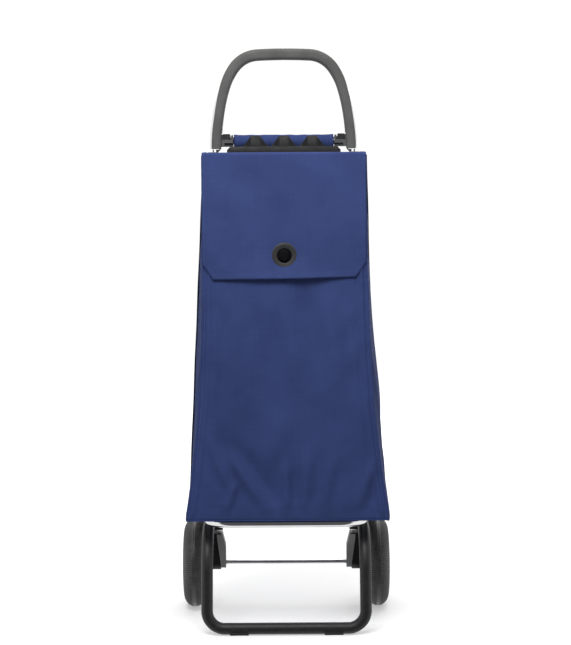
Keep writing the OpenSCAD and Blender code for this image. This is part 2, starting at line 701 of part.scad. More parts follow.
module hub_cap(side) color([0.35, 0.35, 0.36]) on_side(side) difference() {
    union() {
        rod_x(19, [hub_x[1], overall_w / 2 - 3], 0, wheel_r);
        rod_x(15, [overall_w / 2 - 3, overall_w / 2], 0, wheel_r);
    }
    rod_x(13, [hub_x[1] - 1, overall_w / 2 - 2.5], 0, wheel_r);
}

// ---------- nodes ----------

upright(-1);  // upright_left
upright(1);  // upright_right
bracket(-1);  // bracket_left
bracket(1);  // bracket_right
axle_support(-1);  // axle_support_left
axle_support(1);  // axle_support_right
axle_cheek(-1);  // axle_cheek_left
axle_cheek(1);  // axle_cheek_right
axle();
axle_spacers();
axle_clips();
bracket_bolts();
upright_rivets();
tray_pivot_pins();
foot_pivot_pins();
hinge_base(-1);  // hinge_base_left
hinge_base(1);  // hinge_base_right
hinge_pins();
crossbar();
button_spring(-1);  // button_spring_left
button_spring(1);  // button_spring_right
bag_back();
bag_front();
bag_gusset(-1);  // bag_gusset_left
bag_gusset(1);  // bag_gusset_right
bag_floor();
bag_hanger();
crossbar_sleeve();
closure_knob();
release_button(-1);  // release_button_left
release_button(1);  // release_button_right
handle_tube(-1);  // handle_tube_left
handle_tube(1);  // handle_tube_right
handle_end(-1);  // handle_end_left
handle_end(1);  // handle_end_right
handle_grip();
flap_top();
flap_front();
eyelet_ring();
eyelet_washer();
tray_loop();
tray_knuckles();
bag_base_board();
foot_tube();
foot_knuckles();
foot_glides();
tyre(-1);  // tyre_left
tyre(1);  // tyre_right
wheel_hub(-1);  // wheel_hub_left
wheel_hub(1);  // wheel_hub_right
wheel_bush(-1);  // wheel_bush_left
wheel_bush(1);  // wheel_bush_right
hub_cap(-1);  // hub_cap_left
hub_cap(1);  // hub_cap_right
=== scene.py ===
"""Looks of a folding shopping trolley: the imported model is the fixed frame, and this script adds the
camera, the light, the materials and the detailed meshes of the fabric, grip, tubes and tyres.

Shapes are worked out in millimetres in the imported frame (+Z up, the front faces -Y) and turned into
metres when a mesh is made.
"""
import json
from math import acos, asin, atan, copysign, cos, degrees, pi, radians, sin, tan

import bmesh
import bpy
import numpy as np
from mathutils import Matrix, Vector


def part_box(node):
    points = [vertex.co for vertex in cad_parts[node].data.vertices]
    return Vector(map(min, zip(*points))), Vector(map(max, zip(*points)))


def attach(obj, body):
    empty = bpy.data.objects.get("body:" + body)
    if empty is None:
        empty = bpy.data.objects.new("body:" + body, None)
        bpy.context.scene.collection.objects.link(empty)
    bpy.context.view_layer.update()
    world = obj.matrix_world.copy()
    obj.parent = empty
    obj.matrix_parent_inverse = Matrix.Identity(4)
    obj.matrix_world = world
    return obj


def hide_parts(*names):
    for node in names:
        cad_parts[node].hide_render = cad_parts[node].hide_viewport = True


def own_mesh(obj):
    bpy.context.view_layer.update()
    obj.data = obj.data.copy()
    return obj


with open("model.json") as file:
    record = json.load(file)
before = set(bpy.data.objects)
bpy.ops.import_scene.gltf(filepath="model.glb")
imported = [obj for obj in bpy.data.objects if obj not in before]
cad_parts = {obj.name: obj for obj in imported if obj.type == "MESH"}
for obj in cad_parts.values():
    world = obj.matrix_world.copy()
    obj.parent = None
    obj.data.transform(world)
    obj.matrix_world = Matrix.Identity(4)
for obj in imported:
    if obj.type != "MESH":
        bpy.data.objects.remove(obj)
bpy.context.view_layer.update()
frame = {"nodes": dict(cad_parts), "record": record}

MM = 0.001
SEED = 7
WHITE = (1.0, 1.0, 1.0, 1.0)


def node_box(node):
    """Lowest and highest corner of a CAD node, in millimetres."""
    low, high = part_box(node)
    return np.array(low) / MM, np.array(high) / MM


def add_object(name, data):
    made = bpy.data.objects.new(name, data)
    bpy.context.collection.objects.link(made)
    return made


# ---------- camera, light and floor ----------

FOOT_Y = node_box("foot_tube")[0][1] + 10.5
CAMERA_BACK = 3.232
CAMERA_HEIGHT = 0.850
CAMERA_SIDE = 0.0012
CAMERA_PITCH = radians(5.09)
CAMERA_ROLL = radians(0.35)
CAMERA_LENS = 102.5
SENSOR = 36.0


def make_camera():
    data = bpy.data.cameras.new("camera")
    data.lens = CAMERA_LENS
    data.sensor_fit = "VERTICAL"
    data.sensor_height = data.sensor_width = SENSOR
    camera = add_object("camera", data)
    place = Matrix.Translation((CAMERA_SIDE, FOOT_Y * MM - CAMERA_BACK, CAMERA_HEIGHT))
    tilt = Matrix.Rotation(pi / 2 - CAMERA_PITCH, 4, "X")
    camera.matrix_world = place @ tilt @ Matrix.Rotation(-CAMERA_ROLL, 4, "Z")
    bpy.context.scene.camera = camera


def area_light(name, place, target, size, power):
    data = bpy.data.lights.new(name, "AREA")
    data.shape = "RECTANGLE"
    data.size, data.size_y = size
    data.energy = power
    light = add_object(name, data)
    light.location = place
    light.rotation_euler = (Vector(target) - Vector(place)).to_track_quat("-Z", "Y").to_euler()


def make_world():
    """White where it is seen, dimmer as a light, and in mirrors a white room with a dark front."""
    world = bpy.data.worlds.new("studio")
    bpy.context.scene.world = world
    world.use_nodes = True
    tree = world.node_tree
    lit = tree.nodes["Background"]
    lit.inputs["Color"].default_value, lit.inputs["Strength"].default_value = WHITE, 0.32
    seen, mirrored = (add_node(tree, "Background", values={"Color": WHITE, "Strength": strength})
                      for strength in (1.05, 1.0))
    room = add_node(tree, "TexCoord").outputs["Generated"]
    facing = add_node(tree, "VectorMath", {0: room}, {1: (0.0, -1.0, 0.03)},
                      operation="DOT_PRODUCT").outputs["Value"]
    tree.links.new(ramp(tree, facing, WHITE[:3], (0.09, 0.09, 0.095), 0.46, 0.68),
                   mirrored.inputs["Color"])
    rays = add_node(tree, "LightPath").outputs
    surface = lit.outputs[0]
    for ray, part in (("Is Glossy Ray", mirrored), ("Is Camera Ray", seen)):
        mix = add_node(tree, "MixShader", {"Fac": rays[ray], 1: surface, 2: part.outputs[0]})
        surface = mix.outputs[0]
    tree.links.new(surface, tree.nodes["World Output"].inputs["Surface"])


def make_floor(material):
    """A wide pale floor under the trolley."""
    half = 30.0
    mesh = bpy.data.meshes.new("floor")
    corners = [(-half, -half, 0), (half, -half, 0), (half, half, 0), (-half, half, 0)]
    mesh.from_pydata(corners, [], [(0, 1, 2, 3)])
    mesh.materials.append(material)
    floor = add_object("floor", mesh)
    floor.visible_diffuse = floor.visible_glossy = False


make_camera()
area_light("key", (-0.2, -1.25, 1.75), (0, -0.1, 0.7), (1.1, 0.7), 22)
area_light("top", (0.2, 0.6, 3.0), (0, 0, 0.3), (3.0, 3.0), 30)
area_light("back", (0.9, 2.6, 1.6), (0, 0, 0.6), (2.0, 2.0), 22)
bpy.context.scene.view_settings.view_transform = "Standard"


# ---------- materials ----------


def add_node(tree, kind, links=None, values=None, **settings):
    """A shader node with its settings, its unlinked values and its incoming links."""
    node = tree.nodes.new("ShaderNode" + kind)
    for name, value in settings.items():
        setattr(node, name, value)
    for socket, value in (values or {}).items():
        node.inputs[socket].default_value = value
    for socket, source in (links or {}).items():
        tree.links.new(source, node.inputs[socket])
    return node


def scaled(colour, share):
    return tuple(c * share for c in colour)


def new_material(name, **sockets):
    """A Principled material with the given uniform socket values."""
    material = bpy.data.materials.new(name)
    material.use_nodes = True
    shader = material.node_tree.nodes["Principled BSDF"]
    for socket, value in sockets.items():
        shader.inputs[socket.replace("_", " ")].default_value = value
    return material, material.node_tree, shader


def noise(tree, scale, detail=3.0, roughness=0.5, stretch=(1, 1, 1), place=None):
    """Noise in object coordinates, or at another place; scale counts features per metre."""
    if place is None:
        place = add_node(tree, "TexCoord").outputs["Object"]
    mapping = add_node(tree, "Mapping", {"Vector": place}, {"Scale": stretch})
    return add_node(tree, "TexNoise", {"Vector": mapping.outputs[0]},
                    {"Scale": scale, "Detail": detail, "Roughness": roughness}).outputs["Fac"]


def ramp(tree, source, low, high, start=0.3, end=0.7):
    """A colour between low and high as source goes from start to end."""
    node = add_node(tree, "ValToRGB", {"Fac": source})
    first, last = node.color_ramp.elements
    first.position, last.position = start, end
    first.color, last.color = (*low, 1.0), (*high, 1.0)
    return node.outputs["Color"]


def spread(tree, source, low, high, start=0.3, end=0.7):
    """A number between low and high as source goes from start to end."""
    return add_node(tree, "MapRange", {"Value": source},
                    {"From Min": start, "From Max": end, "To Min": low, "To Max": high}).outputs[0]


def shade(tree, shader, source, low, high, *span):
    tree.links.new(ramp(tree, source, low, high, *span), shader.inputs["Base Color"])


def gloss(tree, shader, source, low, high, *span):
    tree.links.new(spread(tree, source, low, high, *span), shader.inputs["Roughness"])


def bump(tree, shader, height, distance, strength):
    node = add_node(tree, "Bump", {"Height": height}, {"Strength": strength, "Distance": distance})
    tree.links.new(node.outputs["Normal"], shader.inputs["Normal"])


def maths(tree, operation, *terms):
    """The output of a Math node; each term is a float or another node's output."""
    node = add_node(tree, "Math", operation=operation)
    for socket, term in zip(node.inputs, terms):
        if isinstance(term, float):
            socket.default_value = term
        else:
            tree.links.new(term, socket)
    return node.outputs[0]


def plastic(name, colour, roughness=0.5, grain=0.00006, grain_scale=1800.0, wear=1.25, **sockets):
    """Moulded plastic: fine spark-eroded grain, slow colour drift and uneven gloss."""
    material, tree, shader = new_material(name, **sockets)
    shade(tree, shader, noise(tree, 18.0, detail=4.0), scaled(colour, 1 / wear), scaled(colour, wear))
    gloss(tree, shader, noise(tree, 60.0), roughness - 0.07, roughness + 0.07)
    bump(tree, shader, noise(tree, grain_scale, detail=2.0), grain, 0.5)
    return material


def metal(name, colour, roughness, brush):
    """Bare metal with drawn lines along one axis, faint stains and uneven polish."""
    material, tree, shader = new_material(name, Metallic=1.0)
    shade(tree, shader, noise(tree, 25.0, detail=4.0), scaled(colour, 0.86), colour)
    lines = noise(tree, 400.0, detail=2.0, stretch=brush)
    gloss(tree, shader, lines, roughness * 0.7, roughness * 1.4)
    bump(tree, shader, lines, 0.00001, 0.4)
    return material


def painted(name, colour, roughness=0.46):
    """Satin powder coat with a slight orange peel and fine scuffs."""
    material, tree, shader = new_material(name, Specular_IOR_Level=0.4)
    scuffs = noise(tree, 90.0, detail=6.0, roughness=0.7)
    shade(tree, shader, scuffs, colour, scaled(colour, 1.5), 0.45, 0.8)
    gloss(tree, shader, scuffs, roughness - 0.05, roughness + 0.12)
    bump(tree, shader, noise(tree, 700.0, detail=1.0), 0.00005, 0.35)
    return material


def fabric(name, colour, roughness=0.62, weave=0.0007, mottle=0.16):
    """Plain-weave coated polyester: threads in both directions, slubs and soft mottling."""
    material, tree, shader = new_material(name, Specular_IOR_Level=0.03)
    place = add_node(tree, "UVMap", uv_map="cloth").outputs[0]
    across = add_node(tree, "SeparateXYZ", {"Vector": place}).outputs
    warp, weft = (maths(tree, "SINE", maths(tree, "MULTIPLY", across[k], pi / weave)) for k in (0, 1))
    threads = maths(tree, "MULTIPLY", warp, weft)
    slubs, picks = (noise(tree, 1.0, detail=2.0, stretch=stretch, place=place)
                    for stretch in ((900.0, 12.0, 1.0), (12.0, 900.0, 1.0)))
    uneven = maths(tree, "ADD", slubs, picks)
    patches = maths(tree, "MULTIPLY", noise(tree, 9.0, detail=5.0, roughness=0.6), 0.6)
    tone = maths(tree, "ADD", patches, maths(tree, "MULTIPLY", uneven, 0.2))
    shade(tree, shader, tone, scaled(colour, 1 - mottle), scaled(colour, 1 + mottle), 0.35, 0.65)
    gloss(tree, shader, threads, roughness + 0.08, roughness - 0.06, -1.0, 1.0)
    relief = maths(tree, "ADD", threads, maths(tree, "MULTIPLY", uneven, 0.9))
    bump(tree, shader, relief, weave * 0.09, 0.6)
    return material


def rubber(name, colour, roughness=0.7):
    """Foam rubber: fine pores, dusty in patches."""
    material, tree, shader = new_material(name, Specular_IOR_Level=0.4)
    dust = noise(tree, 35.0, detail=6.0, roughness=0.65)
    shade(tree, shader, dust, colour, scaled(colour, 1.7), 0.45, 0.75)
    gloss(tree, shader, dust, roughness - 0.1, roughness + 0.1)
    bump(tree, shader, noise(tree, 1500.0, detail=3.0), 0.00008, 0.5)
    return material


def floor_material():
    """Pale floor that glows with painted light, a little more away from the trolley, so that its far part
    stays white; the weaker glow near the trolley paints the floor darker there (painted shade).
    """
    material, tree, shader = new_material("floor_white", Roughness=0.8, Specular_IOR_Level=0.0,
                                          Emission_Color=WHITE)
    place = add_node(tree, "TexCoord").outputs["Object"]
    away = add_node(tree, "VectorMath", {0: place}, operation="LENGTH").outputs["Value"]
    # Painted light: the floor's glow, which is weaker near the trolley and so paints a shade round it.
    tree.links.new(spread(tree, away, 0.37, 0.74, 0.35, 1.5), shader.inputs["Emission Strength"])
    shade(tree, shader, noise(tree, 2.0), (0.93, 0.93, 0.935), (0.95, 0.95, 0.955))
    return material


NAVY = (0.043, 0.065, 0.188)
MATERIALS = {
    "bag_fabric": fabric("navy_polyester", NAVY),
    "lining": fabric("grey_lining", (0.10, 0.105, 0.12), roughness=0.7),
    "binding": fabric("dark_binding", (0.012, 0.013, 0.018), roughness=0.75, weave=0.0009),
    "thread": plastic("navy_thread", (0.075, 0.105, 0.29), roughness=0.55, grain=0.0001),
    "aluminium_tube": metal("satin_aluminium", (0.93, 0.935, 0.94), 0.14, brush=(1, 1, 0.02)),
    "polished_tube": metal("polished_tube", (0.86, 0.86, 0.87), 0.07, brush=(0.02, 1, 1)),
    "steel": metal("zinc_steel", (0.78, 0.78, 0.79), 0.36, brush=(0.05, 1, 1)),
    "black_plastic": plastic("black_nylon", (0.022, 0.022, 0.023), roughness=0.46,
                             Specular_IOR_Level=0.35),
    # The knob is a darker, less glossy copy of the black nylon: its own black plus painted shade for the
    # hole of the eyelet round it.
    "knob": plastic("black_knob", (0.004, 0.004, 0.005), roughness=0.6, Specular_IOR_Level=0.08),
    "grey_plastic": plastic("dark_grey_nylon", (0.085, 0.085, 0.086), roughness=0.5),
    # The comb is a darker copy of the black nylon: its own black plus painted shade for the dim gap between
    # the sleeve and the flap.
    "comb_plastic": plastic("comb_nylon", (0.010, 0.010, 0.011), roughness=0.5,
                            Specular_IOR_Level=0.25),
    "eyelet_plastic": plastic("eyelet_nylon", (0.032, 0.032, 0.033), roughness=0.55,
                              Specular_IOR_Level=0.3),
    "grey_casting": plastic("grey_nylon", (0.42, 0.42, 0.42), roughness=0.5, grain=0.00009),
    "grip_plastic": plastic("grip_plastic", (0.092, 0.091, 0.088), roughness=0.55, grain=0.00008),
    "black_paint": painted("black_powder_coat", (0.019, 0.019, 0.020)),
    "glide_rubber": rubber("glide_rubber", (0.012, 0.012, 0.012)),
    "tyre_foam": rubber("tyre_foam", (0.070, 0.070, 0.071), roughness=0.40),
    "hub_plastic": plastic("hub_plastic", (0.045, 0.045, 0.048), roughness=0.42),
    "nylon": plastic("natural_nylon", (0.72, 0.70, 0.62), roughness=0.45, wear=1.06),
    "base_board": plastic("pressed_board", (0.06, 0.055, 0.05), roughness=0.8, grain=0.0002,
                          grain_scale=600.0),
}
make_world()
make_floor(floor_material())


# ---------- mesh helpers ----------


def unit(vectors):
    """The same vectors at length 1."""
    return vectors / np.linalg.norm(vectors, axis=-1, keepdims=True)


def full_turn(sides):
    """Angles of a whole turn."""
    return np.arange(sides) * 2 * pi / sides


def square_to(axis):
    """A direction at right angles to axis."""
    side = np.cross(axis, [0.0, 0.0, 1.0])
    if np.linalg.norm(side) < 0.1:
        side = np.cross(axis, [0.0, 1.0, 0.0])
    return unit(side)


def round_ring(centre, axis, side, radius, sides):
    """A ring of points about an axis through centre."""
    turns = full_turn(sides)
    return centre + radius * (np.outer(np.cos(turns), side) + np.outer(np.sin(turns), np.cross(side, axis)))


def ring_about_x(x, centre, radius, turns):
    """Points at the given turns about a line along X through centre, its y and z."""
    return np.stack([x + 0 * turns, centre[0] + radius * np.cos(turns),
                     centre[1] + radius * np.sin(turns)], -1)


def lengths_along(path):
    """Length of a path up to each of its points."""
    return np.concatenate([[0.0], np.cumsum(np.linalg.norm(np.diff(path, axis=0), axis=1))])


def grid_places(rows, columns, closed):
    """Row and column of each quad of a grid of points."""
    return np.meshgrid(np.arange(rows - 1), np.arange(columns if closed else columns - 1), indexing="ij")


def grid_faces(rows, columns, closed=False):
    """Quads of a grid of points, row by row; closed joins the last column to the first."""
    i, j = grid_places(rows, columns, closed)
    a, b = i * columns + j, i * columns + (j + 1) % columns
    return np.stack([a, b, b + columns, a + columns], -1).reshape(-1, 4)


def grid_uv(rows_at, columns_at, closed=False):
    """Corner UVs of grid_faces: rows_at and columns_at are the lengths along the cloth, in metres."""
    i, j = grid_places(len(rows_at), len(columns_at) - closed, closed)
    corners = [np.stack([columns_at[j + right], rows_at[i + up]], -1)
               for right, up in ((0, 0), (1, 0), (1, 1), (0, 1))]
    return np.stack(corners, -2).reshape(-1, 2)


def make_mesh(name, points, faces, materials, uv=None):
    """An object from points in millimetres. uv gives one pair in metres for each corner."""
    mesh = bpy.data.meshes.new(name)
    mesh.from_pydata((np.asarray(points, float) * MM).tolist(), [], [list(map(int, f)) for f in faces])
    for slot_name in materials:
        mesh.materials.append(MATERIALS[slot_name])
    mesh.polygons.foreach_set("use_smooth", [True] * len(mesh.polygons))
    if uv is not None:
        mesh.uv_layers.new(name="cloth").data.foreach_set("uv", uv.reshape(-1))
    mesh.update()
    return add_object(name, mesh)


def edit_mesh(piece, change):
    """Runs change on the piece's mesh."""
    work = bmesh.new()
    work.from_mesh(piece.data)
    change(work)
    work.to_mesh(piece.data)
    work.free()
    return piece


def face_outward(piece):
    """Turns the faces of a closed piece outward."""
    return edit_mesh(piece, lambda work: bmesh.ops.recalc_face_normals(work, faces=work.faces))


def soften(piece, angle):
    """Smooth shading with sharp edges kept above an angle in degrees."""
    piece.data.set_sharp_from_angle(angle=radians(angle))


def finish_piece(piece, body, slot, *nodes):
    """Attaches a piece to the body it rides on and hides the CAD nodes it stands for. The slot argument is
    not used.
    """
    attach(piece, body)
    if nodes:
        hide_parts(*nodes)
    return piece


def thicken(piece, thickness):
    """Gives a sheet its thickness, inward, with its second material inside."""
    solid = piece.modifiers.new("thickness", "SOLIDIFY")
    solid.thickness = thickness * MM
    solid.offset = -1.0
    solid.material_offset = 1
    graph = bpy.context.evaluated_depsgraph_get()
    mesh = bpy.data.meshes.new_from_object(piece.evaluated_get(graph), depsgraph=graph)
    piece.modifiers.clear()
    piece.data = mesh


def loft(name, rings, material, closed_path=False):
    """A skin through closed rings of points, capped at both ends or closed on itself."""
    rings = np.asarray(rings, float)
    count, size = rings.shape[:2]
    faces = [tuple(f) for f in grid_faces(count, size, closed=True)]
    last = (count - 1) * size
    if closed_path:
        faces += [(last + j, last + (j + 1) % size, (j + 1) % size, j) for j in range(size)]
    else:
        faces += [tuple(range(size - 1, -1, -1)), tuple(range(last, last + size))]
    return face_outward(make_mesh(name, rings.reshape(-1, 3), faces, [material]))


def bent_path(corners, radii, step=12.0, arc_step=3.0):
    """Points along straight runs that meet in arcs: one radius for each inner corner.

    Points are at most about step apart, and arc_step degrees apart in the arcs.
    """
    corners = [np.array(c, float) for c in corners]
    path = [corners[0]]
    for before, corner, after, radius in zip(corners, corners[1:], corners[2:], radii):
        enter, leave = unit(before - corner), unit(after - corner)
        half = acos(float(np.dot(enter, leave))) / 2
        cut = radius / tan(half)
        middle = corner + unit(enter + leave) * radius / sin(half)
        start, end = corner + enter * cut - middle, corner + leave * cut - middle
        turn = acos(float(np.dot(start, end)) / radius ** 2)
        pieces = max(4, int(degrees(turn) / arc_step))
        for t in np.arange(pieces + 1) / pieces:
            path.append(middle + (start * sin((1 - t) * turn) + end * sin(t * turn)) / sin(turn))
    path.append(corners[-1])
    points = [path[0]]
    for a, b in zip(path, path[1:]):
        pieces = max(1, int(np.linalg.norm(b - a) / step))
        points += [a + (b - a) * k / pieces for k in range(1, pieces + 1)]
    return np.array(points)


def sweep(name, path, radius, material, sides=12):
    """A round bar along a path, turned as little as possible on the way."""
    ahead = unit(np.gradient(path, axis=0))
    side = square_to(ahead[0])
    rings = []
    for point, direction in zip(path, ahead):
        side = unit(side - direction * np.dot(side, direction))
        rings.append(round_ring(point, direction, side, radius, sides))
    return loft(name, rings, material)


def lathe(name, section, centre, axis, material):
    """Turns a section of (distance along the axis, radius) about an axis through centre."""
    axis = unit(np.array(axis))
    rings = [round_ring(np.array(centre) + axis * along, axis, square_to(axis), radius, 96)
             for along, radius in section]
    return loft(name, rings, material, closed_path=True)


def capsules(name, starts, ends, normals, radius):
    """Short thread stitches from starts to ends, each a six-sided bead that lies on the cloth."""
    lengths = np.linalg.norm(ends - starts, axis=1)
    along = unit(ends - starts)
    turns = full_turn(6)
    points, faces = [], []
    for a, direction, side, up, size in zip(starts, along, unit(np.cross(normals, along)), normals, lengths):
        base = len(points)
        points.append(a - up * radius * 0.5)
        for t, lift in ((0.15, 0.25), (0.5, 0.55), (0.85, 0.25)):
            middle = a + direction * size * t + up * radius * lift
            points += [middle + radius * (side * cos(w) + up * sin(w)) for w in turns]
        points.append(a + direction * size - up * radius * 0.5)
        for j in range(6):
            n = (j + 1) % 6
            faces.append((base, base + 1 + n, base + 1 + j))
            for k in (0, 6):
                faces.append((base + 1 + k + j, base + 1 + k + n, base + 7 + k + n, base + 7 + k + j))
            faces.append((base + 19, base + 13 + j, base + 13 + n))
    return face_outward(make_mesh(name, points, faces, ["thread"]))


def stitch_line(path, normals, pitch=3.2, length=2.2):
    """Starts, ends and normals of the stitches along a path."""
    at = lengths_along(path)
    begin = np.arange(pitch / 2, at[-1] - length, pitch)

    def sample(values, s):
        return np.stack([np.interp(s, at, values[:, k]) for k in range(3)], -1)

    return sample(path, begin), sample(path, begin + length), unit(sample(normals, begin))


def join_stitches(name, lines, body, radius=0.34):
    """One piece from several stitch lines."""
    piece = capsules(name, *(np.concatenate(parts) for parts in zip(*lines)), radius)
    return finish_piece(piece, body, "bag_fabric")


def ease(x):
    """0 below 0, 1 above 1, and smooth in between."""
    x = np.clip(x, 0.0, 1.0)
    return x * x * (3 - 2 * x)


def lump(x, centre, width):
    """A soft bump of height 1."""
    return np.exp(-((x - centre) / width) ** 2)


# ---------- bag ----------

UPRIGHT_Y = (node_box("upright_left")[0][1] + node_box("upright_left")[1][1]) / 2
BAG_LOW, BAG_HIGH = node_box("bag_gusset_right")
HEM_DROP = 3.4
BAG_Z0, BAG_Z1 = BAG_LOW[2] - HEM_DROP, BAG_HIGH[2]
BAG_H = BAG_Z1 - BAG_Z0
FRONT_Y0 = BAG_LOW[1]
BACK_Y = node_box("bag_back")[1][1]
FLAP_LOW, FLAP_HIGH = node_box("flap_front")
BAG_LEAN = 20.0
TOP_HALF = FLAP_HIGH[0]
BOTTOM_HALF = node_box("bag_front")[1][0] + 4.5
BACK_BOTTOM_HALF = node_box("bag_back")[1][0]
BACK_TOP_HALF = BACK_BOTTOM_HALF - 23.0
LEFT_BULGE, RIGHT_BULGE, RIGHT_BELLY = 1.5, 10.0, 7.5
FRONT_SHIFT = 3.0
FRONT_WIDTH, GUSSET_WIDTH = 300.0, 220.0
BACK_SHIFT_TOP, BACK_SHIFT_LOW = 2.0, -7.0
CLOTH = 1.3
EDGE_R = 5.5
SAG_CAP = 4.0
CLOTH_SETTINGS = {"vertex_group_mass": "held", "mass": 0.06, "shrink_min": -0.007,
                  "tension_stiffness": 25, "compression_stiffness": 25, "shear_stiffness": 8,
                  "bending_stiffness": 3.0, "quality": 7}


def drop(z):
    """0 at the rim, 1 at the floor."""
    return np.clip((BAG_Z1 - z) / BAG_H, 0.0, 1.0)


def front_half(z):
    return TOP_HALF + (BOTTOM_HALF - TOP_HALF) * drop(z) ** 3.2


def front_y(z):
    return FRONT_Y0 + BAG_LEAN * (1 - drop(z))


def run_and_share(s):
    """The run of a loop position and the share of it. The loop round the bag has four runs: front,
    right gusset, back, left gusset. Position 0 is the front left corner, seen from the front."""
    return np.floor(np.mod(s, 4.0)).astype(int), np.mod(s, 1.0)


def loop_point(s, z):
    """Plain panels of the bag, before seams, creases and sag.

    The bag hangs a little askew: its front to the right and its back to the left.
    """
    run, t = run_and_share(s)
    fw, fy = front_half(z), front_y(z)
    bw = BACK_TOP_HALF + (BACK_BOTTOM_HALF - BACK_TOP_HALF) * drop(z)
    to_front = np.choose(run, [1 + 0 * t, 1 - t, 0 * t, t])
    across = 4 * t * (1 - t)
    dome = 3.0 * across ** 0.7 * np.sin(pi * drop(z) ** 0.8)
    belly = np.where(run == 1, RIGHT_BELLY, 0.0) * lump(drop(z), 0.64, 0.24)
    bulge = ((np.where(run == 1, RIGHT_BULGE, LEFT_BULGE) * drop(z) ** 0.8 + belly) * across
             - 2.5 * lump(t, 0.5, 0.05) * (1 - 0.5 * drop(z)))
    askew = (FRONT_SHIFT * drop(z) ** 1.3 * to_front
             + (BACK_SHIFT_TOP + (BACK_SHIFT_LOW - BACK_SHIFT_TOP) * drop(z)) * (1 - to_front))
    x = np.choose(run, [fw * (2 * t - 1), fw + (bw - fw) * t + bulge,
                        bw * (1 - 2 * t), -(bw + (fw - bw) * t + bulge)])
    y = np.choose(run, [fy - dome, fy + (BACK_Y - fy) * t, BACK_Y + 0 * t, BACK_Y + (fy - BACK_Y) * t])
    return np.stack([x + askew, y, z * np.ones_like(x)], -1)


def seam_relief(s, z):
    """How far the sewn front edges stand out: a pinched seam, a valley and a soft pulled ridge."""
    s = np.mod(s, 4.0)
    height = np.zeros_like(s)
    for corner in (0.0, 1.0, 4.0):
        away = s - corner
        on_front = (away < 0) == (corner == 1.0)
        length = np.where(on_front, 2 * front_half(z), BACK_Y - front_y(z))
        d = np.abs(away) * length
        near = np.abs(away) < 0.5
        ridge = 1.9 * lump(d, 0.0, 1.6) - 1.5 * lump(d, 4.4, 2.0)
        pulled = np.where(on_front, 1.9 * lump(d, 11.5, 4.5) - 0.9 * lump(d, 20.0, 5.0), 0.0)
        height = height + np.where(near, ridge + pulled, 0.0)
    for corner in (2.0, 3.0):
        d = np.abs(s - corner) * (BACK_Y - front_y(z))
        height = height + np.where(np.abs(s - corner) < 0.5, 1.2 * lump(d, 0.0, 2.2), 0.0)
    return height * ease((z - BAG_Z0 - 2.0) / 14.0)


def crease(x, z, start, end, depth, width):
    """A fold along a line on the front panel; depth is outward, and fades towards the line's ends."""
    start, end = np.array(start, float), np.array(end, float)
    along = end - start
    length = np.linalg.norm(along)
    along = along / length
    dx, dz = x - start[0], z - start[1]
    t = (dx * along[0] + dz * along[1]) / length
    d = dx * along[1] - dz * along[0]
    fade = ease(t / 0.35) * ease((1 - t) / 0.35)
    return depth * fade * (lump(d, 0.0, width) - 0.6 * lump(d, -1.8 * width, 1.1 * width))


FOLD_STRENGTH = 1.35
# Folds of the front panel: start (x, z), end (x, z), depth and width
FRONT_FOLDS = [
    ((-118, 350), (-24, 214), 5.0, 12.0),
    ((-146, 380), (-96, 250), 3.4, 10.0),
    ((-88, 290), (-112, 220), 2.8, 7.0),
    ((-2, 330), (-2, 214), 3.6, 9.0),
    ((40, 350), (26, 216), 2.8, 10.0),
    ((86, 340), (58, 216), 2.2, 10.0),
    ((158, 330), (118, 216), 3.2, 10.0),
    ((-14, 660), (26, 430), 4.2, 22.0),
    ((72, 640), (96, 380), 3.6, 20.0),
    ((-74, 600), (-62, 360), 3.0, 24.0),
    ((118, 600), (138, 300), 2.4, 13.0),
    ((-126, 610), (-136, 380), 2.0, 12.0),
    ((0, 420), (-34, 290), 2.4, 18.0),
]


def fold_relief(s, z):
    """Given folds: those of the front panel, and soft ripples on the gussets and the back."""
    run, t = run_and_share(s)
    to_corner, above_floor = np.minimum(t, 1 - t), z - BAG_Z0
    x = front_half(z) * (2 * t - 1)
    front = FOLD_STRENGTH * sum(crease(x, z, *fold) for fold in FRONT_FOLDS)
    front = front * ease(to_corner / 0.06) * ease(above_floor / 12.0)
    depth = np.where(run == 1, t, 1 - t)
    ripple = (1.6 * np.sin(z / 37.0 + 5.0 * depth) * np.sin(pi * depth) ** 2 * drop(z)
              + 2.2 * lump(depth * 210 + 0.35 * above_floor, 120.0, 14.0)
              + 1.8 * lump(depth * 210 - 0.3 * above_floor, 60.0, 12.0))
    side = ripple * ease(to_corner / 0.12) * ease(above_floor / 15.0)
    back = 0.5 * np.sin(z / 61.0 + 3 * t) * ease(to_corner / 0.1)
    return np.select([run == 0, run == 2], [front, back], side)


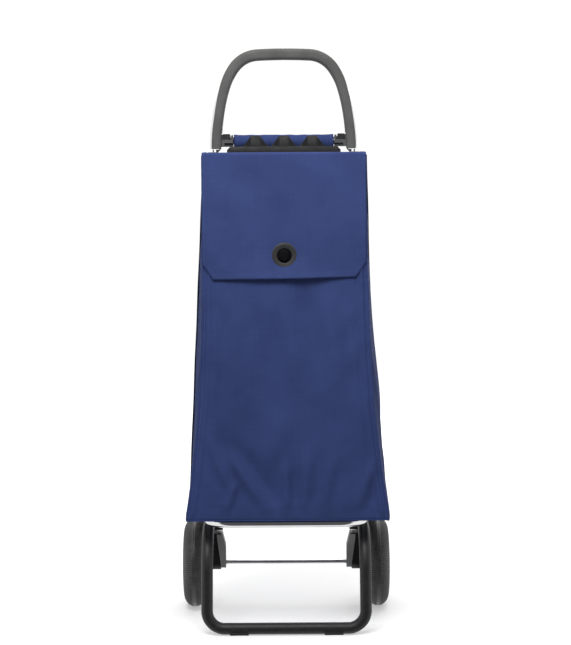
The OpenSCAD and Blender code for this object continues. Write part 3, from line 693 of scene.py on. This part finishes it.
def cloth_sag(loops, levels):
    """Cloth simulation of the hanging bag on a coarse net: returns how far its points move."""
    s, z = np.meshgrid(loops, levels)
    start = loop_point(s, z)
    net = make_mesh("sag_net", start.reshape(-1, 3), grid_faces(len(levels), len(loops), closed=True),
                    ["bag_fabric"])
    run, t = run_and_share(s)
    corner = np.minimum(t, 1 - t) * np.where(run % 2 == 0, FRONT_WIDTH, GUSSET_WIDTH) < 3.0
    fixed = (run == 2) | corner | (z > BAG_Z1 - 6) | (z < BAG_Z0 + 4)
    held = net.vertex_groups.new(name="held")
    held.add([int(k) for k in np.flatnonzero(fixed.reshape(-1))], 1.0, "REPLACE")
    rng = np.random.default_rng(SEED)
    push = rng.normal(0.0, 0.35, start.shape) * MM
    for vertex, nudge in zip(net.data.vertices, push.reshape(-1, 3)):
        vertex.co += Vector(nudge)
    cloth = net.modifiers.new("cloth", "CLOTH")
    for name, value in CLOTH_SETTINGS.items():
        setattr(cloth.settings, name, value)
    cloth.collision_settings.use_collision = False
    cloth.point_cache.frame_start, cloth.point_cache.frame_end = 1, 40
    for step in range(1, 33):
        bpy.context.scene.frame_set(step)
    settled = net.evaluated_get(bpy.context.evaluated_depsgraph_get()).data
    moved = np.zeros(len(settled.vertices) * 3)
    settled.vertices.foreach_get("co", moved)
    moved = moved.reshape(start.shape) / MM - start
    bpy.context.scene.frame_set(1)
    bpy.data.objects.remove(net)
    size = np.linalg.norm(moved, axis=-1, keepdims=True)
    calm = np.where(run == 0, 0.25, 0.7)
    return moved * np.minimum(1.0, SAG_CAP / np.maximum(size, 1e-6)) * calm[..., None]


def net_value(values, loops, levels, s, z):
    """Bilinear value of a periodic net at loop positions s and heights z."""
    wrapped = np.concatenate([values, values[:, :1]], axis=1)
    at = np.concatenate([loops, [loops[0] + 4.0]])
    column = np.interp(np.mod(s - loops[0], 4.0) + loops[0], at, np.arange(len(at)))
    row = np.interp(z, levels, np.arange(len(levels)))
    i, j = np.clip(row.astype(int), 0, len(levels) - 2), np.clip(column.astype(int), 0, len(at) - 2)
    v, u = (row - i)[..., None], (column - j)[..., None]
    return ((1 - v) * ((1 - u) * wrapped[i, j] + u * wrapped[i, j + 1])
            + v * ((1 - u) * wrapped[i + 1, j] + u * wrapped[i + 1, j + 1]))


NET_LOOPS = np.concatenate([run + np.linspace(0, 1, n, endpoint=False)
                            for run, n in zip(range(4), (48, 32, 12, 32))])
NET_LEVELS = np.linspace(BAG_Z0, BAG_Z1, 96)
SAG = cloth_sag(NET_LOOPS, NET_LEVELS)


def level_normals(ahead):
    """Outward normals, square to a direction along the bag's loop."""
    return unit(np.stack([ahead[..., 1], -ahead[..., 0], np.zeros(ahead.shape[:-1])], -1))


def bag_surface(loops, levels):
    """The bag's outer cloth, with its sag, folds and seams, and its horizontal normals."""
    s, z = np.meshgrid(loops, levels)
    plain = loop_point(s, z)
    normals = level_normals(np.roll(plain, -1, axis=1) - np.roll(plain, 1, axis=1))
    points = plain + net_value(SAG, NET_LOOPS, NET_LEVELS, s, z)
    return points + normals * (seam_relief(s, z) + fold_relief(s, z))[..., None], normals


def dense_loop():
    """Loop positions, closer together beside the seams."""
    shares = np.concatenate([np.linspace(0, 0.09, 19)[:-1], np.linspace(0.09, 0.91, 74),
                             np.linspace(0.91, 1, 19)[1:]])
    return np.concatenate([run + shares[:-1] for run in range(4)])


def make_bag():
    """The bag as one shell: floor, rounded bottom edge, hem and walls."""
    wall, normals = bag_surface(dense_loop(), np.linspace(BAG_Z0 + EDGE_R, BAG_Z1, 216))
    bottom = wall[0]
    turn = np.radians(np.linspace(90, 0, 7)[:-1])
    edge_rows = [bottom - normals[0] * EDGE_R * (1 - cos(a)) - [0, 0, EDGE_R * sin(a)] for a in turn]
    centre = bottom.mean(axis=0)
    floor = []
    for k in np.append(np.linspace(0.02, 0.93, 13), [0.95, 0.97, 0.985]):
        row = centre + (edge_rows[0] - centre) * k
        row[:, 2] = edge_rows[0][:, 2] + 0.3 + HEM_DROP * ease((1 - k) / 0.045)
        floor.append(row)
    points = np.concatenate([floor, edge_rows, wall])
    count, columns = points.shape[:2]
    around = lengths_along(np.concatenate([bottom, bottom[:1]])) * MM
    uv = grid_uv(lengths_along(points[:, 0]) * MM, around, closed=True)
    piece = make_mesh("bag_shell", points.reshape(-1, 3), grid_faces(count, columns, closed=True),
                      ["bag_fabric", "lining"], uv=uv)

    def close_floor(work):
        work.verts.ensure_lookup_table()
        work.faces.new([work.verts[k] for k in range(columns - 1, -1, -1)]).smooth = True

    thicken(edit_mesh(piece, close_floor), CLOTH)
    fold_flat(finish_piece(piece, "frame", "bag_fabric",
                           "bag_front", "bag_back", "bag_gusset_left", "bag_gusset_right", "bag_floor"))


def fold_flat(piece):
    """On the real trolley the bag's cloth crumples against its back panel as the tray folds up; here the
    piece only gets its own copy of its mesh data.
    """
    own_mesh(piece)


def make_bag_trim():
    """Piping along the bag's rear corners and its bottom edge, rim hem and stitches."""
    levels = np.linspace(BAG_Z0 + EDGE_R, BAG_Z1, 160)
    for side, corner, outward in (("left", 3.0, -1.0), ("right", 2.0, 1.0)):
        out = 1.2 + 0.25 * np.sin(levels / 23.0)[:, None]
        path = loop_point(np.full_like(levels, corner), levels) + out * [outward, 0.15, 0.0]
        pipe = sweep("bag_binding_" + side, path, 1.9, "binding")
        fold_flat(finish_piece(pipe, "frame", "bag_fabric"))
    loops = dense_loop()
    ring, normals = bag_surface(loops, [BAG_Z0 + EDGE_R])
    path = ring[0] - normals[0] * 1.4 - [0, 0, EDGE_R - 1.2]
    pipe = flat_cord("bag_bottom_piping", path, 1.3, "bag_fabric")
    fold_flat(finish_piece(pipe, "frame", "bag_fabric"))
    lines = []
    for corner, offset, width in ((0.0, 4.6, FRONT_WIDTH), (1.0, -4.6, FRONT_WIDTH),
                                  (0.0, -4.2, GUSSET_WIDTH), (1.0, 4.2, GUSSET_WIDTH)):
        lines.append(stitch_line(*column_of_bag(corner + offset / width, levels)))
    for height in (BAG_Z1 - 18.0, BAG_Z1 - 3.0):
        ring, normals = bag_surface(loops, [height])
        for keep in (loops < 2.0, loops >= 3.0):
            lines.append(stitch_line(ring[0][keep], normals[0][keep]))
    fold_flat(join_stitches("bag_stitches", lines, "frame"))


def column_of_bag(s, levels):
    """One vertical line on the bag and its normals there."""
    points, _ = bag_surface(np.array([s - 0.004, s, s + 0.004]), levels)
    return points[:, 1], level_normals(points[:, 2] - points[:, 0])


def flat_cord(name, path, radius, material, sides=10):
    """A closed round cord along a closed path that lies flat."""
    ahead = unit(np.roll(path, -1, axis=0) - np.roll(path, 1, axis=0))
    outward = unit(np.cross(ahead, [0.0, 0.0, 1.0]))[:, None, :]
    turns = full_turn(sides)[None, :, None]
    rings = path[:, None, :] + radius * (np.cos(turns) * outward + np.sin(turns) * [0.0, 0.0, 1.0])
    return loft(name, rings, material, closed_path=True)


make_bag()
make_bag_trim()


# ---------- flap ----------

FLAP_Z0, FLAP_Z1 = FLAP_LOW[2], node_box("flap_top")[1][2]
FLAP_REAR = node_box("flap_top")[1][1]
CHAMFER_X, CHAMFER_Z = 19.0, 27.0
EYELET_LOW, EYELET_HIGH = node_box("eyelet_ring")
EYELET_Z = (EYELET_LOW[2] + EYELET_HIGH[2]) / 2
EYELET_R = (EYELET_HIGH[0] - EYELET_LOW[0]) / 2
EYELET_HOLE_R = 13.0
KNOB_PROUD = 2.8
LEAN = atan(BAG_LEAN / BAG_H)
FLAP_GAP = 3.9
FLAP_CLOTH = 1.5
FOLD_R = 5.0
FLAP_SLANT = 1.9
# Rings of the turn knob, from back to front: distance along, half width and half height
KNOB_RINGS = [(1.0, 15.0, 15.0), (-0.4, 15.0, 15.0), (-0.8, 14.4, 14.4),
              (-0.9, 6.6, 8.0), (-1.4, 6.0, 8.0), (-1.7, 6.8, 10.2),
              (-2.3, 7.0, 10.6), (-2.8, 6.4, 10.0), (-3.0, 4.2, 7.6)]


def flap_plane_y(z):
    """Outer face of the hanging flap."""
    return front_y(z) - FLAP_GAP


def flap_path(rows=118):
    """Side line of the flap as (y, z, length along it): top sheet, fold, hanging sheet."""
    fold_y = flap_plane_y(FLAP_Z1) + FOLD_R
    top = [(FLAP_REAR + (fold_y - FLAP_REAR) * k / 44, FLAP_Z1) for k in range(44)]
    fold = [(fold_y - FOLD_R * sin(a), FLAP_Z1 - FOLD_R * (1 - cos(a)))
            for a in np.linspace(0, pi / 2 - LEAN, 9)]
    front = [(flap_plane_y(z), z) for z in np.linspace(fold[-1][1], FLAP_Z0, rows - 53 + 1)[1:]]
    line = np.array(top + fold + front)
    return line, lengths_along(line)


def flap_points(shares, inset=0.0, lift=0.0):
    """Points of the flap at shares (-1..1) of its width, moved inward from its edge by inset."""
    line, length = flap_path()
    y, z = line[:, 0, None], line[:, 1, None]
    low = FLAP_Z0 + inset
    half = TOP_HALF - inset - CHAMFER_X * np.clip((low + CHAMFER_Z - z) / CHAMFER_Z, 0, 1)
    x = half * shares
    hanging = ease((FLAP_Z1 - z) / 40.0)
    down = np.clip((FLAP_Z1 - z) / (FLAP_Z1 - FLAP_Z0), 0, 1)
    wave = (1.7 * down ** 2 * np.sin(x / 33.0 + 0.6) + 1.1 * down * np.sin(x / 71.0 + 2.0 + z / 90.0)
            + 11.0 * down ** 4 * lump(x, 6.0, 92.0) + 0.8 * hanging * np.sin(z / 47.0 + x / 58.0)
            + 1.4 * lump(x + (z - FLAP_Z0) * 0.6, -96.0, 12.0) * ease((z - FLAP_Z0) / 20) * hanging
            * np.clip((FLAP_Z0 + 90 - z) / 60, 0, 1))
    wave = wave + 1.2 * hanging * np.sin(x / 23.0 + 2.0 * np.sin(z / 61.0)) * np.sin(z / 29.0 + x / 90.0)
    near_eyelet = lump(np.hypot(x, z - EYELET_Z), 0.0, 34.0)
    wave = wave * (1 - near_eyelet) + 0.6 * near_eyelet
    ruck = (0.9 * np.sin(x / 41.0) * np.sin((y - FLAP_REAR) / 33.0)
            - 2.2 * np.sin(pi * np.clip((y - FLAP_REAR) / (line[44, 0] - FLAP_REAR), 0, 1))
            * (1 - shares ** 2))
    on_top = z > FLAP_Z1 - 0.01
    normal_y = np.where(on_top, 0.0, -cos(LEAN))
    points = np.stack([x, y + normal_y * (np.maximum(wave, -1.2) * hanging + lift) + 0 * x,
                       z + np.where(on_top, ruck - 0.4 + lift, FLAP_SLANT * shares * down ** 2)
                       + 0 * x], -1)
    return points, length


def make_flap():
    columns = 122
    shares = np.linspace(-1, 1, columns)
    points, length = flap_points(shares)
    line, _ = flap_path()
    edge_x = TOP_HALF * (1 - np.abs(shares))
    to_edge = np.minimum(edge_x, (length[-1] - length)[:, None])
    hem = 0.55 * ease((9.0 - to_edge) / 1.6) - 0.35 * lump(to_edge, 2.8, 0.9)
    on_top = (line[:, 1] > FLAP_Z1 - 0.01)[:, None]
    points[..., 1] -= np.where(on_top, 0.0, hem)
    points[..., 2] += np.where(on_top, hem * 0.5, 0.0)
    points = points.reshape(-1, 3)
    faces = grid_faces(len(line), columns)[:, ::-1]
    uv = grid_uv(length * MM, shares * TOP_HALF * MM).reshape(-1, 4, 2)[:, ::-1]
    middles = points[faces].mean(axis=1)
    off_eyelet = np.hypot(middles[:, 0], middles[:, 2] - EYELET_Z) > EYELET_HOLE_R + 4.5
    keep = off_eyelet | (middles[:, 2] > FLAP_Z1 - 1)
    piece = make_mesh("flap", points, faces[keep], ["bag_fabric", "lining"], uv=uv[keep])
    thicken(piece, FLAP_CLOTH)
    fold_flat(finish_piece(piece, "flap", "bag_fabric", "flap_top", "flap_front"))


def make_flap_stitches():
    """Topstitching just inside the flap's edge."""
    inset = 2.8
    line, _ = flap_path()
    lines = []
    for side in (-1.0, 1.0):
        points, _ = flap_points(np.array([side]), inset=inset, lift=0.75)
        run = points[line[:, 1] >= FLAP_Z0 + inset, 0]
        normals = np.tile([0.0, -1.0, 0.02], (len(run), 1))
        normals[run[:, 2] > FLAP_Z1 - 4] = [0.0, -0.1, 1.0]
        lines.append(stitch_line(run, normals))
    shares = np.linspace(-1, 1, 90)
    points, _ = flap_points(shares, inset=inset, lift=0.75)
    row = int(np.argmin(np.abs(line[:, 1] - FLAP_Z0 - inset)))
    lines.append(stitch_line(points[row], np.tile([0.0, -1.0, 0.0], (len(shares), 1))))
    fold_flat(join_stitches("flap_stitches", lines, "flap"))


def rounded_section(corners, radius, steps=5):
    """A closed outline of (along, radius) points with its corners rounded."""
    corners = np.array(corners)
    outline = []
    for before, corner, after in zip(np.roll(corners, 1, 0), corners, np.roll(corners, -1, 0)):
        a, b = corner + unit(before - corner) * radius, corner + unit(after - corner) * radius
        for t in np.linspace(0, 1, steps):
            outline.append((1 - t) ** 2 * a + 2 * t * (1 - t) * corner + t * t * b)
    return outline


def make_eyelet():
    """The flap's moulded ring and the flat washer behind the cloth."""
    centre = (0.0, flap_plane_y(EYELET_Z) - 0.4, EYELET_Z)
    inner, outer = EYELET_HOLE_R, EYELET_R + 0.9
    ring = [(-0.6, outer), (1.7, outer - 0.5), (2.9, outer - 3.4), (2.3, inner + 2.6),
            (1.6, inner), (-3.4, inner), (-3.4, inner + 1.5), (-0.6, inner + 1.5)]
    washer = [(-3.0, outer - 2), (-2.1, outer - 2), (-2.1, inner + 1.4), (-3.0, inner + 1.4)]
    for name, corners, rounding, node in (("eyelet", ring, 0.6, "eyelet_ring"),
                                          ("eyelet_back", washer, 0.3, "eyelet_washer")):
        piece = lathe(name, rounded_section(corners, rounding), centre, (0.0, -cos(LEAN), sin(LEAN)),
                      "eyelet_plastic")
        fold_flat(finish_piece(piece, "flap", "grey_plastic", node))


def make_knob():
    """Turn knob on the bag: a round foot and an upright oval head inside the eyelet."""
    front = front_y(EYELET_Z) - KNOB_PROUD
    turns = full_turn(48)
    rings = [np.stack([width * np.cos(turns), front + along + 0 * turns,
                       EYELET_Z + height * np.sin(turns)], -1) for along, width, height in KNOB_RINGS]
    # The knob's near-black material is its own black plus painted shade for the eyelet's hole.
    fold_flat(finish_piece(loft("turn_knob", rings, "knob"), "frame", "black_plastic", "closure_knob"))


make_flap()
make_flap_stitches()
make_eyelet()
make_knob()


# ---------- sleeve round the crossbar, the comb in front of it, and the button springs ----------

CROSSBAR_LOW, CROSSBAR_HIGH = node_box("crossbar")
HINGE_Y, HINGE_Z = (CROSSBAR_LOW[1:] + CROSSBAR_HIGH[1:]) / 2
SLEEVE_R = 12.4
SLEEVE_AXIS = (HINGE_Y, HINGE_Z - 0.9)
SPRING_TURNS = 5
SPRING_WIRE_R = 0.45
TEETH = {"a": -53.0, "b": 0.0, "c": 53.0}


def make_button_springs():
    """Coil springs behind the release buttons, which on the real trolley shorten towards the hinge base's
    wall; here each keeps the length of its CAD node.
    """
    for side, inward in (("left", 1), ("right", 0)):
        low, high = node_box("button_spring_" + side)
        coil = (high[2] - low[2]) / 2 - SPRING_WIRE_R
        turn = np.linspace(0, 2 * pi * SPRING_TURNS, 40 * SPRING_TURNS + 1)
        x = np.linspace(low[0] + SPRING_WIRE_R, high[0] - SPRING_WIRE_R, len(turn))
        path = ring_about_x(x, ((low + high) / 2)[1:], coil, turn)
        piece = sweep("press_spring_" + side, path, SPRING_WIRE_R, "steel")
        finish_piece(piece, "frame", "steel", "button_spring_" + side)
        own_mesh(piece)


def make_sleeve():
    """The bag's cloth loop round the crossbar, rucked along its length, with hemmed ends."""
    end = node_box("crossbar_sleeve")[1][0]
    x = np.concatenate([[-end] * 2, np.linspace(-end, end, 150), [end] * 2])
    sides = 72
    turns = full_turn(sides)
    seam = 0.8 * lump(np.mod(turns - radians(235) + pi, 2 * pi) - pi, 0.0, 0.09)
    rings = []
    for k, place in enumerate(x):
        to_end = end - abs(place)
        ruck = (0.2 * np.sin(place / 7.3 + 2 * np.sin(place / 31.0)) * np.sin(turns + place / 60.0)
                + 0.2 * np.sin(place / 3.9 + 3 * turns) + 0.15 * np.sin(place / 19.0 + turns * 2))
        hem = 0.7 * ease((8.0 - to_end) / 1.5) - 0.5 * lump(to_end, 7.6, 0.8)
        radius = SLEEVE_R + ruck * ease(to_end / 10.0) + hem
        if k in (0, len(x) - 1):
            radius = 10.3
        elif k in (1, len(x) - 2):
            radius = radius - 0.6
        rings.append(ring_about_x(place, SLEEVE_AXIS, radius + seam, turns))
    around = np.linspace(0, 2 * pi * SLEEVE_R, sides + 1) * MM
    piece = make_mesh("crossbar_loop", np.concatenate(rings), grid_faces(len(x), sides, closed=True),
                      ["bag_fabric"], uv=grid_uv(np.arange(len(x)) * 1.25 * MM, around, closed=True))
    finish_piece(face_outward(piece), "frame", "bag_fabric", "crossbar_sleeve")
    normals = ring_about_x(0.0, (0.0, 0.0), 1.0, turns)
    lines = [stitch_line(ring_about_x(side * (end - 6.2), SLEEVE_AXIS, SLEEVE_R + 0.4, turns), normals)
             for side in (-1, 1)]
    join_stitches("crossbar_loop_stitches", lines, "frame", radius=0.32)


def make_comb():
    """Hanger moulding: a bar with bevelled ends and three teeth whose flanks flare into the bar."""
    low, high = node_box("bag_hanger")
    bar_top = low[2] + 12.6
    x = np.unique(np.concatenate([np.linspace(low[0], high[0], 241),
                                  [low[0] + 6, high[0] - 6, low[0] + 0.01, high[0] - 0.01]]))
    top = bar_top - 6.5 * np.clip((6.5 - (high[0] - np.abs(x))) / 6.5, 0, 1)
    bar = comb_slab("bag_comb_bar", x, low[2] - 1.5, top, low[1], UPRIGHT_Y + 4.5)
    finish_piece(bar, "frame", "black_plastic", "bag_hanger")
    tooth = np.zeros_like(x)
    for centre in TEETH.values():
        away = np.abs(x - centre)
        rise = np.clip(1 - (away - 8.8) / 16.5, 0, 1)
        corner = 1.6 * np.clip((away - 6.0) / 2.8, 0, 1) ** 2 * (away < 8.8)
        tooth = np.maximum(tooth, (high[2] - bar_top) * rise ** 1.25 - corner)
    for letter, centre in TEETH.items():
        near = np.abs(x - centre) < 25.8
        slab = comb_slab("bag_comb_tooth_" + letter, x[near], bar_top - 8.0,
                         bar_top - 0.5 + tooth[near], UPRIGHT_Y - 3.2, UPRIGHT_Y + 4.6)
        finish_piece(slab, "frame", "black_plastic")


def comb_slab(name, x, z0, top, y0, y1, bevel=1.1):
    """A plate from z0 up to a height at each x, with bevelled edges front and back."""
    rings = []
    for px, z1 in zip(x, top):
        lip = min(bevel, max(0.05, (z1 - z0) / 3))
        outline = [(y0, z0 + lip), (y0 + lip, z0), (y1 - lip, z0), (y1, z0 + lip),
                   (y1, z1 - lip), (y1 - lip * 0.4, z1 - lip * 0.25), (y1 - lip, z1),
                   (y0 + lip, z1), (y0 + lip * 0.4, z1 - lip * 0.25), (y0, z1 - lip)]
        rings.append([(px, y, z) for y, z in outline])
    # The comb's material is its own black plus painted shade.
    piece = loft(name, rings, "comb_plastic")
    soften(piece, 40)
    return piece


make_button_springs()
make_sleeve()
make_comb()


# ---------- handle grip ----------

GRIP_LOW, GRIP_HIGH = node_box("handle_grip")
GRIP_HALF = 134.8
GRIP_T = 19.0
GRIP_D = 28.0
END_TOP = 898.5
END_BOTTOM = 869.0
LUG_R = 13.0
HINGE_CLEAR_X = 120.6
HINGE_CLEAR_Y = 9.6
LEG, SHOULDER, CORNER = (438.9, 0.0, 16.0), (124.0, 16.0, 34.0), (67.0, 34.0, 87.0)


def compass(degree):
    """The direction at an angle from +X, in the grip's plane."""
    return np.array([cos(radians(degree)), sin(radians(degree))])


def arc_span(arc):
    """How far inward and upward an arc of (radius, first degree, last degree) goes."""
    radius, start, end = arc
    return radius * (compass(start) - compass(end)) * [1, -1]


def arch_edge():
    """Outer edge of the grip's right half from foot to crown: points and outward normals."""
    inward, rise = sum(arc_span(arc) for arc in (LEG, SHOULDER, CORNER))
    crown = ((GRIP_HALF - inward) / cos(radians(CORNER[2])), CORNER[2], 90.0)
    foot = np.array([GRIP_HALF, GRIP_HIGH[2] - rise - arc_span(crown)[1]])
    first = degrees(asin((END_BOTTOM - foot[1]) / LEG[0]))
    arcs = [(LEG[0], first, LEG[2]), SHOULDER, CORNER, crown]
    centre = foot - [LEG[0], 0.0]
    points, normals = [], []
    for index, (radius, start, end) in enumerate(arcs):
        if index:
            centre = centre + (arcs[index - 1][0] - radius) * compass(start)
        steps = max(8, int(radians(end - start) * radius / 2.5))
        for degree in np.linspace(start, end, steps)[min(index, 1):]:
            points.append(centre + radius * compass(degree))
            normals.append(compass(degree))
    return np.array(points), np.array(normals)


def make_grip():
    """Grip: a soft-edged flat bar, thicker at the crown, with a groove inside and a middle seam.

    Its feet reach down in front of the hinge blocks and keep clear of them.
    """
    edge, outward = (np.concatenate([half, (half * [-1.0, 1.0])[-2::-1]]) for half in arch_edge())
    thick = GRIP_T + 2.4 * ease((edge[:, 1] - 960.0) / 85.0)
    turns = full_turn(72)
    across, depth = (np.sign(wave) * np.abs(wave) ** (2 / 4.2) for wave in (np.cos(turns), np.sin(turns)))
    groove = 0.6 * lump(turns, pi, 0.07)
    middle_y = (GRIP_LOW[1] + GRIP_HIGH[1]) / 2
    rings = []
    for k, (point, normal, t) in enumerate(zip(edge, outward, thick)):
        pinch = 0.35 * (k == len(edge) // 2)
        a = (t / 2 - pinch) * across + groove
        centre = point - normal * t / 2
        x, z = centre[0] + normal[0] * a, centre[1] + normal[1] * a
        y = middle_y + (GRIP_D / 2 - pinch) * depth
        if point[1] < END_TOP:
            side = copysign(1.0, point[0])
            behind = y > middle_y - HINGE_CLEAR_Y
            x = np.where(behind, side * np.maximum(side * x, HINGE_CLEAR_X), x)
        rings.append(np.stack([x, y, z], -1))
    piece = loft("handle_grip_shell", rings, "grip_plastic")
    soften(piece, 50)
    finish_piece(piece, "handle", "grip_plastic", "handle_grip")


def make_handle_lug(side):
    """Rounded lug behind the leg's foot, round the hinge pin."""
    low, high = node_box("handle_end_" + side)
    edge_y = GRIP_HIGH[1] - 5.0
    turns = np.radians(np.linspace(-90, 90, 37))
    outline = np.concatenate([ring_about_x(0.0, (HINGE_Y, HINGE_Z), LUG_R, turns),
                              [(0.0, edge_y, HINGE_Z + LUG_R), (0.0, edge_y, HINGE_Z - LUG_R)]])
    middle = np.array([0.0, (HINGE_Y + edge_y) / 2, HINGE_Z])
    rings = [middle + (outline - middle) * share + [x, 0.0, 0.0]
             for x, share in ((low[0], 0.94), (low[0] + 0.3, 0.98), (low[0] + 0.9, 1.0),
                              (high[0] - 0.9, 1.0), (high[0] - 0.3, 0.98), (high[0], 0.94))]
    piece = loft("handle_lug_" + side, rings, "grip_plastic")
    soften(piece, 35)
    finish_piece(piece, "handle", "grey_plastic", "handle_end_" + side)


make_grip()
for lug_side in ("left", "right"):
    make_handle_lug(lug_side)


# ---------- foot, tray and tyres ----------

FOOT_R = 10.5
FOOT_SPLAY = 1.8
TRAY_R = 9.2
RIBS = 118
RIM_R = 62.0
SECTION_H = 24.0
TYRE_SWELL = 1.2


def make_foot():
    low, high = node_box("foot_tube")
    x, y, top, bottom = high[0] - FOOT_R, low[1] + FOOT_R, high[2] - FOOT_R, low[2] + FOOT_R
    foot = x + FOOT_SPLAY
    path = bent_path([(-x, high[1], top), (-x, y, top), (-foot, y, bottom), (foot, y, bottom),
                      (x, y, top), (x, high[1], top)], [70, 32, 32, 70])
    piece = sweep("foot_bar", path, FOOT_R, "black_paint", sides=40)
    finish_piece(piece, "foot", "black_paint", "foot_tube")


def make_tray():
    low, high = node_box("tray_loop")
    x, y, z = high[0] - TRAY_R, low[1] + TRAY_R, (low[2] + high[2]) / 2 - 0.4
    path = bent_path([(-x, high[1], z), (-x, y, z), (x, y, z), (x, high[1], z)], [43.5, 43.5])
    piece = sweep("tray_bar", path, TRAY_R, "polished_tube", sides=40)
    finish_piece(piece, "tray", "polished_tube", "tray_loop")


def make_tyre(side):
    """Foam tyre: an elliptical section with fine slanting ribs, crossed by rings on the inner side."""
    low, high = node_box("tyre_" + side)
    centre = (low + high) / 2
    outer, half = (high[2] - low[2]) / 2, (high[0] - low[0]) / 2 + TYRE_SWELL
    turns = full_turn(RIBS * 8)
    first = asin((RIM_R - outer + SECTION_H) / SECTION_H)
    inward = -1.0 if centre[0] > 0 else 1.0
    rings = []
    for a in np.linspace(first, pi - first, 61):
        along = -half * cos(a)
        radius = outer - SECTION_H + SECTION_H * sin(a)
        edge = along / half
        away = abs(edge)
        strength = ease((away - 0.10) / 0.15) * (1 - ease((away - 0.86) / 0.1))
        rib = 1.25 * strength * (0.5 - 0.5 * np.cos(turns * RIBS - 3.2 * away)) ** 1.4
        ring_cut = 0.35 * ease(edge * inward / 0.2) * (0.5 - 0.5 * cos(along * 2.6))
        cut = rib + ring_cut + 0.55 * lump(along, 0.0, 0.9)
        slope = unit(np.array([cos(a) / half, sin(a) / SECTION_H]))
        rings.append(ring_about_x(centre[0] + along + cut * slope[0], centre[1:],
                                  radius - cut * slope[1], turns))
    for way in (0.8, -0.8):
        rings.append(ring_about_x(centre[0] + half * way, centre[1:], RIM_R - 0.4, turns))
    piece = loft("tyre_tread_" + side, rings, "tyre_foam", closed_path=True)
    finish_piece(piece, "wheel_" + side, "tyre_foam", "tyre_" + side)


make_foot()
make_tray()
for wheel_side in ("left", "right"):
    make_tyre(wheel_side)


# ---------- CAD nodes that stay ----------


def dress_cad_nodes():
    """Gives every CAD node that stays its material and softly broken edges."""
    slots = {part["node"]: part["material_slot"] for part in frame["record"]["subparts"]}
    for name, node in frame["nodes"].items():
        if node.hide_render:
            continue
        node.data.materials.clear()
        node.data.materials.append(MATERIALS[slots[name]])
        node.modifiers.new("weld", "WELD").merge_threshold = 0.00001
        edge = node.modifiers.new("edges", "BEVEL")
        edge.width, edge.segments, edge.harden_normals = 0.0005, 2, True
        edge.limit_method, edge.angle_limit = "ANGLE", radians(40)


dress_cad_nodes()
